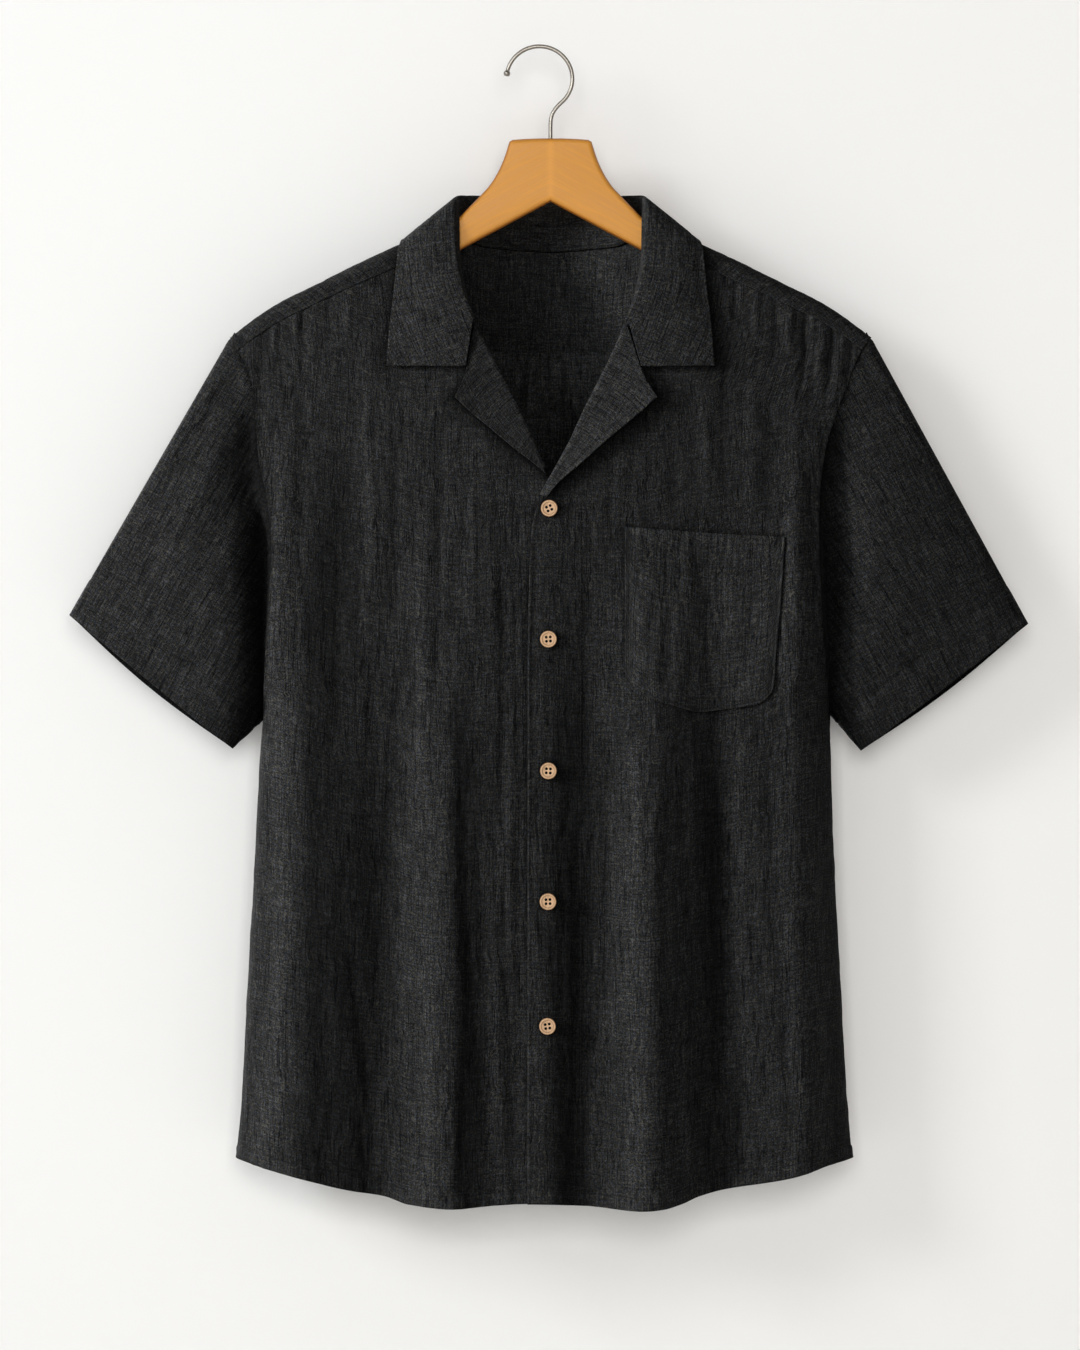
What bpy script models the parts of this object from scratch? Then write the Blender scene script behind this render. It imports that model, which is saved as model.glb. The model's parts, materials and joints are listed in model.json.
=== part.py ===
"""Camp collar shirt hanging on a wooden hanger.

The shirt is cut as two fronts, a back with a box pleat, a yoke that wraps over the shoulders, two
short sleeves, a one-piece collar, two lapel facings and a chest pocket. Every piece is a thin wall
laid on one form: a ridge that the hanger carries, with a front and a back that hang from it.

Tables are in millimetres. X runs to the right seen from the front, Y to the back, Z up, and the
origin is the point inside the hook's top where a rod bears. Left and right are as seen from the front.
"""

import math
from collections import namedtuple

import bmesh
import bpy
from mathutils import Matrix, Vector

MM = 0.001

# ---------------------------------------------------------------- driving sizes, mm
CLOTH = 1.4                # wall of one layer of cloth
SEAM_GAP = 0.6             # between two pieces sewn edge to edge
SLEEVE_GAP = 1.0           # between a sleeve and the armhole it is sewn into
LAYER_GAP = 0.3            # between two pieces that lie on each other
CENTRE_TOP, CENTRE_HEM = 7.3, 2.5      # the shirt's centre line leans a little as it hangs
CENTRE_TOP_Z, CENTRE_HEM_Z = -150.0, -850.0

RIDGE_RADIUS = 10.0        # cloth over the hanger's arm, front to back
HANG_HEIGHT = 300.0        # the cloth reaches its full depth this far below the ridge
HANG_POWER = 0.8
SIDE_POWER = 3.0           # how square the body is, seen from the top
UNDERARM_Z = -510.0
ARMHOLE_FLARE = 90.0       # the body's round goes on this far into the sleeve
FLARE_HEIGHT = 110.0
NECK_BULGE, NECK_BULGE_WIDTH, NECK_BULGE_Z = 14.0, 55.0, -420.0
ARMHOLE_FADE = 30.0        # the armhole's seam gap opens over this height
SETTLE = 12                # rounds that find a point whose x and z depend on each other

YOKE_BACK_Z, YOKE_BACK_SIDE_Z = -233.0, -262.0
YOKE_BACK_LEVEL, YOKE_BACK_FALL = 60.0, 170.0    # its back seam is level, then falls over this width
YOKE_FRONT_NECK_DROP, YOKE_FRONT_DROP = 18.5, 15.0
YOKE_FRONT_NECK_X, YOKE_FRONT_FADE = 69.0, 110.0
UNDER_FRONT_DROP = 3.2     # the lower front lies this far behind the upper one
UNDER_FRONT_X, UNDER_FRONT_RUN = -42.0, 30.0     # it sinks from here over this width
LAPEL_ROLL = 2.4           # radius of the lapel's and the collar's turn
BOW, SHOULDER_BOW = 2.5, 0.4           # the collar leaf's outward bow, front and on the shoulder

BUTTON_RADIUS, BUTTON_THICK, BUTTON_HOLE, BUTTON_HOLE_PITCH = 7.0, 2.6, 0.85, 2.9
BUTTON_SIDES, HOLE_SIDES = 18, 6

HANGER_THICK, HANGER_ROUND, ROUND_STEPS = 11.6, 4.0, 3
HOOK_WIRE, HOOK_BORE, BORE_SIDES, HOOK_DEPTH = 3.2, 3.9, 16, 22.0
HOOK_TIP = 2.6             # radius of the ball on the hook's end

# ---------------------------------------------------------------- short tables, mm
Side = namedtuple("Side", "z left right")
BODY_SIDES = (             # side seam up to the underarm, then the armhole seam
    Side(-851.6, -234.1, 239.1), Side(-800.0, -229.5, 234.8), Side(-707.0, -224.8, 229.5),
    Side(-615.0, -219.5, 224.8), Side(-538.0, -215.6, 222.5), Side(-510.0, -213.3, 221.8),
    Side(-461.0, -209.9, 217.2), Side(-423.0, -207.5, 214.4), Side(-385.0, -205.5, 212.8),
    Side(-346.0, -209.8, 213.6), Side(-312.0, -216.8, 217.6), Side(-280.0, -219.2, 226.5),
    Side(-258.0, -221.7, 235.5), Side(-242.0, -227.2, 241.1), Side(-231.0, -233.0, 246.6),
    Side(-221.0, -239.5, 254.1),
)
Ridge = namedtuple("Ridge", "x z")     # top of the shoulders, x counted from the centre line
RIDGE = (
    Ridge(0.0, -90.0), Ridge(68.0, -126.0), Ridge(100.0, -141.8), Ridge(116.0, -149.2),
    Ridge(130.0, -155.6), Ridge(150.0, -165.0), Ridge(186.0, -183.0), Ridge(205.0, -192.2),
    Ridge(225.0, -204.7), Ridge(247.0, -221.5), Ridge(262.0, -233.5),
)
Depth = namedtuple("Depth", "z front back")
DEPTHS = (
    Depth(-880.0, 52.0, 42.0), Depth(-700.0, 48.0, 38.0), Depth(-510.0, 46.0, 36.0),
    Depth(-350.0, 42.0, 37.0), Depth(-150.0, 34.0, 34.0),
)
Hem = namedtuple("Hem", "x z")
FRONT_HEM = (
    Hem(-234.1, -851.6), Hem(-212.0, -857.0), Hem(-178.0, -866.0), Hem(-145.0, -873.5),
    Hem(-119.0, -878.0), Hem(-100.0, -883.5), Hem(-66.0, -886.0), Hem(-30.0, -883.5),
    Hem(0.0, -883.0), Hem(30.0, -884.5), Hem(76.0, -887.3), Hem(93.0, -886.0),
    Hem(106.0, -882.7), Hem(120.0, -877.4), Hem(137.0, -873.3), Hem(188.0, -864.5),
    Hem(213.0, -857.0), Hem(239.1, -851.6),
)
BACK_HEM = (
    Hem(-234.1, -851.6), Hem(-150.0, -870.0), Hem(-60.0, -880.0), Hem(60.0, -881.0),
    Hem(150.0, -871.0), Hem(239.1, -851.6),
)
Edge = namedtuple("Edge", "z x")       # front edge, then the lapel's roll line, then the neck seam
UPPER_FRONT_EDGE = (
    Edge(-890.0, -9.9), Edge(-487.0, -9.9), Edge(-423.0, -9.2), Edge(-373.0, -7.2),
    Edge(-357.0, -4.6), Edge(-346.0, 0.6), Edge(-328.0, 10.6), Edge(-307.0, 22.1),
    Edge(-281.0, 34.3), Edge(-253.0, 48.1), Edge(-227.0, 60.5), Edge(-206.0, 68.2),
    Edge(-186.0, 74.6), Edge(-164.0, 78.2), Edge(-143.0, 79.5),
)
UNDER_FRONT_EDGE = (
    Edge(-890.0, 20.0), Edge(-354.0, 20.0), Edge(-339.0, 11.0), Edge(-321.0, 0.8),
    Edge(-302.0, -7.6), Edge(-270.0, -22.5), Edge(-240.0, -37.4), Edge(-218.0, -49.0),
    Edge(-206.0, -53.3), Edge(-186.0, -59.8), Edge(-164.0, -63.6), Edge(-143.0, -64.9),
)
Fold = namedtuple("Fold", "x_top x_hem width depth start full")  # depth is outwards, start and full are z
FRONT_FOLDS = (
    Fold(-170.0, -180.0, 30.0, 8.0, -300.0, -680.0), Fold(-112.0, -122.0, 26.0, -10.0, -330.0, -700.0),
    Fold(-62.0, -66.0, 24.0, 8.0, -360.0, -720.0), Fold(-28.0, -26.0, 17.0, -6.0, -420.0, -760.0),
    Fold(44.0, 40.0, 18.0, -8.0, -340.0, -720.0), Fold(84.0, 84.0, 24.0, 9.0, -330.0, -700.0),
    Fold(133.0, 142.0, 26.0, -10.0, -240.0, -680.0), Fold(190.0, 196.0, 24.0, 6.0, -250.0, -640.0),
)
BACK_FOLDS = (
    Fold(2.0, 4.0, 13.0, 3.5, -150.0, -236.0), Fold(-62.0, -88.0, 26.0, 8.0, -300.0, -760.0),
    Fold(66.0, 82.0, 28.0, 9.0, -280.0, -740.0), Fold(-128.0, -150.0, 24.0, -6.0, -320.0, -720.0),
    Fold(120.0, 146.0, 24.0, -7.0, -340.0, -700.0), Fold(0.0, 3.0, 40.0, -5.0, -260.0, -600.0),
)
Neck = namedtuple("Neck", "x drop")    # neck seam: x from the centre line, drop below the ridge, + in front
NECKLINE = (
    Neck(72.2, 18.5), Neck(72.2, 0.0), Neck(70.5, -9.0), Neck(66.0, -19.0), Neck(56.0, -29.2),
    Neck(28.0, -47.0), Neck(0.0, -63.5),
)
Outline = namedtuple("Outline", "x z")
UNDER_LAPEL_EDGE = (
    Outline(1.5, -329.0), Outline(-5.0, -312.7), Outline(-21.4, -302.0), Outline(-38.9, -288.3),
    Outline(-55.7, -276.1), Outline(-66.0, -267.7),
)
UPPER_LAPEL_EDGE = (
    Outline(4.6, -344.5), Outline(12.2, -335.0), Outline(29.7, -319.7), Outline(52.6, -299.1),
    Outline(70.9, -283.9), Outline(88.8, -267.9),
)
LAPEL_TOP_Z = -212.5
LAPEL_NOTCH_BEND = 3.0     # the gorge bends in this far between roll and tip
Station = namedtuple("Station", "seam_x seam_y seam_z fold_x fold_y fold_z edge_x edge_y edge_z")
COLLAR = (                 # from the notch round to the centre back, x from the centre line
    Station(58.0, -17.2, -208.5, 57.6, -22.0, -208.5, 125.5, -22.5, -243.5),
    Station(64.4, -14.8, -189.0, 65.0, -21.5, -189.5, 123.3, -18.5, -214.0),
    Station(68.9, -12.5, -168.0, 70.2, -19.0, -169.5, 120.3, -15.5, -188.0),
    Station(70.2, -10.8, -150.0, 72.0, -16.0, -150.0, 118.0, -13.5, -166.0),
    Station(70.4, -9.0, -134.0, 73.0, -11.5, -130.5, 117.0, -11.5, -155.0),
    Station(70.6, -5.3, -129.0, 72.8, -6.0, -122.0, 115.4, -6.5, -149.0),
    Station(70.7, 0.0, -127.2, 71.8, 0.0, -118.9, 113.5, 0.0, -146.0),
    Station(70.4, 5.4, -128.4, 70.6, 6.5, -117.0, 112.0, 8.0, -148.1),
    Station(68.8, 11.8, -137.0, 67.3, 12.5, -115.4, 107.0, 13.2, -156.0),
    Station(52.0, 17.2, -148.7, 53.0, 18.0, -115.0, 82.0, 18.5, -171.0),
    Station(28.0, 23.4, -151.0, 28.5, 22.5, -116.5, 43.0, 28.0, -180.0),
    Station(0.0, 27.6, -152.7, 0.0, 25.5, -118.5, 0.0, 36.0, -183.0),
)
RIDGE_STATION = 6          # the station on top of the shoulder
NOTCH_LEFT_X, NOTCH_RIGHT_X = 64.9, 69.6      # where the gorge ends, x from the centre line
NOTCH_Y, NOTCH_Z, NOTCH_SHARE = -24.0, -244.2, 0.34
POCKET_LEFT = (Edge(-500.0, 66.0), Edge(-478.0, 64.0), Edge(-368.0, 63.9))
POCKET_RIGHT = (Edge(-500.0, 176.5), Edge(-452.0, 180.4), Edge(-422.0, 183.0), Edge(-375.0, 186.1))
POCKET_TOP = (Hem(63.9, -367.8), Hem(128.0, -372.4), Hem(186.1, -375.4))
POCKET_BOTTOM = (
    Hem(64.0, -478.0), Hem(70.0, -491.9), Hem(76.0, -496.0), Hem(105.8, -505.2), Hem(119.5, -508.5),
    Hem(145.4, -506.0), Hem(166.0, -502.3), Hem(176.0, -493.0), Hem(180.0, -470.0),
)
BUTTON_PROFILE = (         # half section, radius and height over the middle of the disc
    Outline(0.0, -1.3), Outline(5.6, -1.3), Outline(7.0, -0.5), Outline(6.5, 0.8), Outline(5.5, 0.9),
    Outline(4.6, 0.0), Outline(0.0, 0.0),
)
Button = namedtuple("Button", "x z turn")
BUTTONS = (
    Button(6.2, -353.4, 24.0), Button(5.6, -453.2, 4.0), Button(5.6, -553.4, -3.0),
    Button(5.3, -652.8, 2.0), Button(4.9, -747.5, 8.0),
)
Sleeve = namedtuple("Sleeve", "side outer_x outer_z lower_x lower_z half_depth back_drop")
SLEEVES = {
    "sleeve_left": Sleeve(-1, -362.6, -434.7, -238.0, -536.6, 15.0, 5.0),
    "sleeve_right": Sleeve(1, 374.5, -441.3, 246.9, -538.2, 14.0, 2.5),
}
HANGER_SHOULDER = (        # half outline above the arm, from the flat top down to the arm
    Outline(29.0, -68.5), Outline(31.5, -70.0), Outline(32.7, -73.5), Outline(38.1, -91.0),
    Outline(44.2, -104.5), Outline(54.2, -113.8), Outline(62.5, -119.8), Outline(69.6, -130.6),
)
HANGER_ARM = (80.0, 98.0, 125.0, 155.0, 185.0)   # x of the arm's points, their height is the ridge's
HANGER_END = (Outline(199.0, -0.4), Outline(204.0, -5.0), Outline(205.0, -12.0), Outline(199.0, -21.0))
HANGER_UNDER = (150.0, 69.6)
HANGER_REST = 1.0          # between the arm and the inside of the cloth
HANGER_APEX_Z, HANGER_UNDER_SLOPE = -116.0, 0.537
HOOK_CENTRE = (-1.2, -24.0)
HOOK_RADIUS = 25.6
HOOK_START, HOOK_END, HOOK_STEPS = 168.0, -62.0, 32    # angles of the round stretch, from the tip
HOOK_NECK = (Outline(9.4, -47.5), Outline(7.4, -54.0), Outline(7.3, -62.0))
BALL_STEPS, BALL_FIRST, BALL_LAST = 6, 165.0, 35.0     # rings of the ball, from its pole to the wire


# ---------------------------------------------------------------- reading the tables
def smoothstep(t):
    t = min(1.0, max(0.0, t))
    return t * t * (3.0 - 2.0 * t)


def lerp(a, b, t):
    return a + (b - a) * t


def curve_at(keys, values, key):
    """A curve through a table's values that never overshoots them."""
    if key <= keys[0]:
        return values[0]
    if key >= keys[-1]:
        return values[-1]
    i = max(k for k in range(len(keys) - 1) if keys[k] <= key)
    spans = [keys[k + 1] - keys[k] for k in range(len(keys) - 1)]
    slopes = [(values[k + 1] - values[k]) / spans[k] for k in range(len(keys) - 1)]

    def tangent(k):
        if k == 0 or k == len(keys) - 1:
            return slopes[min(k, len(slopes) - 1)]
        before, after = slopes[k - 1], slopes[k]
        return 2.0 * before * after / (before + after) if before * after > 0.0 else 0.0

    t = (key - keys[i]) / spans[i]
    near = values[i] * (1 + 2 * t) * (1 - t) ** 2 + values[i + 1] * t * t * (3 - 2 * t)
    return near + spans[i] * (tangent(i) * t * (1 - t) ** 2 - tangent(i + 1) * t * t * (1 - t))


def read(table, key_name, value_name, key):
    keys = [getattr(row, key_name) for row in table]
    return curve_at(keys, [getattr(row, value_name) for row in table], key)


# ---------------------------------------------------------------- the form that the cloth lies on
def centre_x(z):
    share = (z - CENTRE_TOP_Z) / (CENTRE_HEM_Z - CENTRE_TOP_Z)
    return lerp(CENTRE_TOP, CENTRE_HEM, min(1.0, max(0.0, share)))


def side_x(z, side):
    return read(BODY_SIDES, "z", "left" if side < 0 else "right", z)


def ridge_z(x):
    return read(RIDGE, "x", "z", abs(x - CENTRE_TOP))


def side_factor(x, z):
    """1 in the middle of the body, 0 at its side seam."""
    from_centre = x - centre_x(z)
    half = abs(side_x(z, from_centre) - centre_x(z))
    half += ARMHOLE_FLARE * smoothstep((z - UNDERARM_Z) / FLARE_HEIGHT)
    share = min(1.0, abs(from_centre) / half)
    return math.sqrt(1.0 - share ** SIDE_POWER)


def fold_depth(folds, x, z):
    total = 0.0
    for fold in folds:
        run = (fold.start - z) / (fold.start - CENTRE_HEM_Z)
        middle = lerp(fold.x_top, fold.x_hem, min(1.0, max(0.0, run)))
        grown = smoothstep((fold.start - z) / (fold.start - fold.full))
        total += fold.depth * grown * math.exp(-(((x - middle) / fold.width) ** 2))
    return total


def hang_depth(x, z, full):
    """Depth of cloth that falls from the round ridge and opens out below it."""
    drop = max(0.0, ridge_z(x) - z)
    arch = math.sqrt(max(0.0, RIDGE_RADIUS ** 2 - max(0.0, RIDGE_RADIUS - drop) ** 2))
    open_out = full * min(1.0, drop / HANG_HEIGHT) ** HANG_POWER
    return math.hypot(arch, open_out)


def front_depth(x, z):
    hung = hang_depth(x, z, read(DEPTHS, "z", "front", z))
    return (hung + fold_depth(FRONT_FOLDS, x, z)) * side_factor(x, z) + SEAM_GAP


def back_depth(x, z):
    hung = hang_depth(x, z, read(DEPTHS, "z", "back", z))
    drop = smoothstep((ridge_z(x) - z) / (2.0 * RIDGE_RADIUS))
    bulge = NECK_BULGE * math.exp(-(((x - CENTRE_TOP) / NECK_BULGE_WIDTH) ** 2)) * drop
    bulge *= smoothstep((z - NECK_BULGE_Z) / (YOKE_BACK_Z - NECK_BULGE_Z))
    return (hung + bulge + fold_depth(BACK_FOLDS, x, z)) * side_factor(x, z) + SEAM_GAP


def front_point(x, z, lift=0.0):
    return Vector((x, -front_depth(x, z) - lift, z))


def back_point(x, z, lift=0.0):
    return Vector((x, back_depth(x, z) + lift, z))


def drop_of(arc):
    """Height below the ridge after going this far over it."""
    quarter = RIDGE_RADIUS * math.pi / 2
    if arc < quarter:
        return RIDGE_RADIUS * (1.0 - math.cos(arc / RIDGE_RADIUS))
    return RIDGE_RADIUS + arc - quarter


def arc_of(drop):
    if drop < RIDGE_RADIUS:
        return RIDGE_RADIUS * math.acos(1.0 - drop / RIDGE_RADIUS)
    return drop - RIDGE_RADIUS + RIDGE_RADIUS * math.pi / 2


def over_point(x, arc):
    """The form at x, arc mm from the ridge: positive to the front, negative to the back."""
    z = ridge_z(x) - drop_of(abs(arc))
    depth = front_depth(x, z) if arc > 0.0 else back_depth(x, z)
    depth = max(0.0, depth - SEAM_GAP)
    return Vector((x, math.copysign(depth, -arc), z))


def armhole_point(side, arc, out=0.0):
    """A point of the armhole seam, arc mm over the shoulder, moved outwards by out."""
    x = side_x(BODY_SIDES[-1].z, side)
    for _ in range(SETTLE):
        z = ridge_z(x) - drop_of(abs(arc))
        x = side_x(z, side)
    point = over_point(x, arc)
    point.x += side * out
    return point


def armhole_length():
    return arc_of(ridge_z(side_x(UNDERARM_Z, 1)) - UNDERARM_Z)


# ---------------------------------------------------------------- making objects
def make_material(name, colour, roughness, metallic=0.0):
    material = bpy.data.materials.new(name)
    material.use_nodes = True
    shader = material.node_tree.nodes["Principled BSDF"]
    shader.inputs["Base Color"].default_value = (*colour, 1.0)
    shader.inputs["Roughness"].default_value = roughness
    shader.inputs["Metallic"].default_value = metallic
    return material


def add_object(name, mesh, collection, material):
    obj = bpy.data.objects.new(name, mesh)
    mesh.materials.append(material)
    collection.objects.link(obj)
    return obj


def add_sheet(name, rows, collection, material, wall=CLOTH, closed=False):
    """A wall of cloth through rows of points in mm; closed joins each row's end to its start."""
    shape = bmesh.new()
    verts = [[shape.verts.new(point * MM) for point in row] for row in rows]
    columns = len(rows[0])
    for low, high in zip(verts, verts[1:]):
        for i in range(columns if closed else columns - 1):
            j = (i + 1) % columns
            shape.faces.new((low[i], low[j], high[j], high[i]))
    bmesh.ops.recalc_face_normals(shape, faces=shape.faces)
    mesh = bpy.data.meshes.new(name)
    shape.to_mesh(mesh)
    shape.free()
    mesh.shade_smooth()
    obj = add_object(name, mesh, collection, material)
    solid = obj.modifiers.new("wall", "SOLIDIFY")
    solid.thickness = wall * MM
    solid.offset = 0.0
    return obj


# ---------------------------------------------------------------- the pieces
FRONT_STATIONS = (         # from the front edge to the side seam
    0.0, 0.045, 0.09, 0.15, 0.21, 0.28, 0.35, 0.42, 0.49, 0.56, 0.63, 0.7, 0.77, 0.84, 0.9, 0.95, 0.985, 1.0,
)
FRONT_ROWS, FRONT_CROWD = 24, 1.25       # rows crowd towards the shoulder


def front_rows(side, edge_table, lift):
    """Rows of a front from hem to yoke seam; side is -1 for the left front and 1 for the right."""
    rows = []
    for j in range(FRONT_ROWS + 1):
        up = 1.0 - (1.0 - j / FRONT_ROWS) ** FRONT_CROWD
        row = []
        for out in FRONT_STATIONS:
            x = side_x(UNDERARM_Z, side) / 2
            for _ in range(SETTLE):
                z = lerp(read(FRONT_HEM, "x", "z", x), yoke_front_z(x) - SEAM_GAP / 2, up)
                inner = read(edge_table, "z", "x", z)
                x = lerp(inner, side_x(z, side) - side * SEAM_GAP / 2 * armhole_share(z), out)
            row.append(front_point(x, z, lift(x)))
        rows.append(row)
    return rows


def armhole_share(z):
    return smoothstep((z - UNDERARM_Z) / ARMHOLE_FADE)


def yoke_front_z(x):
    """The yoke's seam on the front: it lies a little lower at the neck."""
    share = min(1.0, max(0.0, (abs(x - CENTRE_TOP) - YOKE_FRONT_NECK_X) / YOKE_FRONT_FADE))
    return ridge_z(x) - lerp(YOKE_FRONT_NECK_DROP, YOKE_FRONT_DROP, share)


def add_fronts(collection, material):
    def under_lift(x):
        return -UNDER_FRONT_DROP * smoothstep((x - UNDER_FRONT_X) / UNDER_FRONT_RUN)

    under = front_rows(-1, UNDER_FRONT_EDGE, under_lift)
    upper = front_rows(1, UPPER_FRONT_EDGE, lambda x: 0.0)
    return [
        add_sheet("front_left", under, collection, material),
        add_sheet("front_right", upper, collection, material),
    ]


BACK_STATIONS = (0.0, 0.035, 0.075, 0.12, 0.2, 0.32, 0.46, 0.6, 0.73, 0.84, 0.925, 0.97, 0.993, 1.0)
BACK_ROWS, BACK_CROWD = 22, 1.2


def yoke_back_z(x):
    fall = smoothstep((abs(x - CENTRE_TOP) - YOKE_BACK_LEVEL) / YOKE_BACK_FALL)
    return lerp(YOKE_BACK_Z, YOKE_BACK_SIDE_Z, fall)


def add_back(collection, material):
    shares = [-s for s in reversed(BACK_STATIONS[1:])] + list(BACK_STATIONS)
    rows = []
    for j in range(BACK_ROWS + 1):
        up = 1.0 - (1.0 - j / BACK_ROWS) ** BACK_CROWD
        row = []
        for share in shares:
            side = -1 if share < 0.0 else 1
            x = side_x(UNDERARM_Z, side) * abs(share)
            for _ in range(SETTLE):
                z = lerp(read(BACK_HEM, "x", "z", x), yoke_back_z(x) - SEAM_GAP / 2, up)
                end = side_x(z, side) - side * SEAM_GAP / 2 * armhole_share(z)
                x = lerp(centre_x(z), end, abs(share))
            row.append(back_point(x, z))
        rows.append(row)
    return add_sheet("back", rows, collection, material)


YOKE_SHOULDER_COLUMNS, YOKE_BACK_ROWS, YOKE_RIDGE_ROWS = 9, 5, 9
YOKE_BACK_WIDTH = 92.0     # the neck's columns take this much of the back seam on each side
YOKE_KNEE = 16.0           # rows are close from here over the ridge
NECK_PLACES = (0.3, 0.6, 1.0, 1.6, 2.2, 3.0, 3.8, 4.6, 5.3, 6.0)


def neckline_point(side, place):
    """(x, arc) on the neckline; place counts rows of its table."""
    keys = list(range(len(NECKLINE)))
    x = curve_at(keys, [row.x for row in NECKLINE], place)
    drop = curve_at(keys, [row.drop for row in NECKLINE], place)
    return CENTRE_TOP + side * (x + SEAM_GAP / 2), math.copysign(arc_of(abs(drop)), drop)


def yoke_seam_arc(x, front):
    edge = yoke_front_z(x) if front else yoke_back_z(x)
    arc = arc_of(ridge_z(x) - edge - SEAM_GAP / 2)
    return arc if front else -arc


def yoke_column(side, line, end_share):
    """Points from the back seam over the ridge. line is (x, arc) at both ends; end_share 1 is the armhole."""
    (back_x, back_arc), (top_x, top_arc) = line

    def x_at(arc):
        inner = lerp(back_x, top_x, (arc - back_arc) / (top_arc - back_arc))
        if end_share == 0.0:
            return inner
        return lerp(inner, armhole_point(side, arc).x - side * SEAM_GAP, end_share)

    first, last, knee = back_arc, top_arc, min(top_arc, 0.0) - YOKE_KNEE
    if end_share > 0.0:
        for _ in range(SETTLE):
            first, last = yoke_seam_arc(x_at(first), False), yoke_seam_arc(x_at(last), True)
    arcs = [lerp(first, knee, j / YOKE_BACK_ROWS) for j in range(YOKE_BACK_ROWS)]
    arcs += [lerp(knee, last, j / YOKE_RIDGE_ROWS) for j in range(YOKE_RIDGE_ROWS + 1)]
    return [over_point(x_at(arc), arc) for arc in arcs]


def yoke_half(side):
    """Columns from the armhole to the centre back."""
    back_end = CENTRE_TOP + side * YOKE_BACK_WIDTH
    neck_line = ((back_end, yoke_seam_arc(back_end, False)), neckline_point(side, 0.0))
    columns = []
    for i in range(YOKE_SHOULDER_COLUMNS):
        share = 1.0 - i / YOKE_SHOULDER_COLUMNS
        columns.append(yoke_column(side, neck_line, share))
    columns.append(yoke_column(side, neck_line, 0.0))
    for number, place in enumerate(NECK_PLACES, 1):
        back_x = lerp(back_end, CENTRE_TOP, number / len(NECK_PLACES))
        line = ((back_x, yoke_seam_arc(back_x, False)), neckline_point(side, place))
        if number == len(NECK_PLACES):
            line = (line[0], (CENTRE_TOP, line[1][1]))
        columns.append(yoke_column(side, line, 0.0))
    return columns


def add_yoke(collection, material):
    columns = yoke_half(-1) + yoke_half(1)[-2::-1]
    rows = [list(row) for row in zip(*columns)]
    return add_sheet("yoke", rows, collection, material)


SLEEVE_RING, SLEEVE_ROWS = 30, 8
SLEEVE_START = 0.004       # share of the length left open at the armhole
SWELL, BACK_SWELL = 7.0, 4.2           # the sleeve's round in the middle, front and back
VALLEY, BACK_VALLEY = 10.0, 4.0        # the fold beside the armhole
VALLEY_SHARE, VALLEY_SPREAD, VALLEY_ALONG = 0.62, 0.24, 0.16


def sleeve_point(sleeve, ring, along):
    """A point of the sleeve; ring runs 0 to 1 down the front and 1 to 2 up the back."""
    front = ring <= 1.0
    share = ring if front else 2.0 - ring
    reach = armhole_length() - 3.5 * SLEEVE_GAP
    arc = reach * share
    seam = armhole_point(sleeve.side, arc if front else -arc, SLEEVE_GAP)
    hem = Vector((
        lerp(sleeve.outer_x, sleeve.lower_x, share), 0.0, lerp(sleeve.outer_z, sleeve.lower_z, share)
    ))
    round_off = math.sqrt(max(0.0, 4.0 * share * (1.0 - share)))
    hem.y = (-1.0 if front else 1.0) * sleeve.half_depth * round_off
    down = Vector((sleeve.lower_z - sleeve.outer_z, 0.0, sleeve.outer_x - sleeve.lower_x)).normalized()
    down *= math.copysign(1.0, -down.z)
    if not front:
        hem += down * sleeve.back_drop * math.sin(math.pi * share)
    point = seam.lerp(hem, along)
    middle = math.sin(math.pi * share)
    swell = middle * math.sin(math.pi * along)
    run = along / VALLEY_ALONG
    valley = math.exp(-(((share - VALLEY_SHARE) / VALLEY_SPREAD) ** 2)) * run * math.exp(1.0 - run)
    if front:
        point.y += VALLEY * valley - SWELL * swell
    else:
        point.y += BACK_SWELL * swell - BACK_VALLEY * valley
    return point


def add_sleeve(name, sleeve, collection, material):
    rows = []
    for j in range(SLEEVE_ROWS + 1):
        along = lerp(SLEEVE_START, 1.0, j / SLEEVE_ROWS)
        rows.append([sleeve_point(sleeve, 2.0 * i / SLEEVE_RING, along) for i in range(SLEEVE_RING)])
    return add_sheet(name, rows, collection, material, closed=True)


LAPEL_ROWS, LAPEL_COLUMNS = 12, 6
ROLL_ANGLES = (-50.0, -15.0, 20.0, 55.0)   # places round the lapel's roll, degrees
ROLL_PROBE = 4.0           # height over which the roll line's slope is taken
UNDER_LAPEL_FOOT, UPPER_LAPEL_FOOT = -323.0, -344.0
UNDER_TIP_LIFT, UPPER_TIP_LIFT = 7.0, 9.0
UNDER_LAPEL_BEHIND = -0.8


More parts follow.
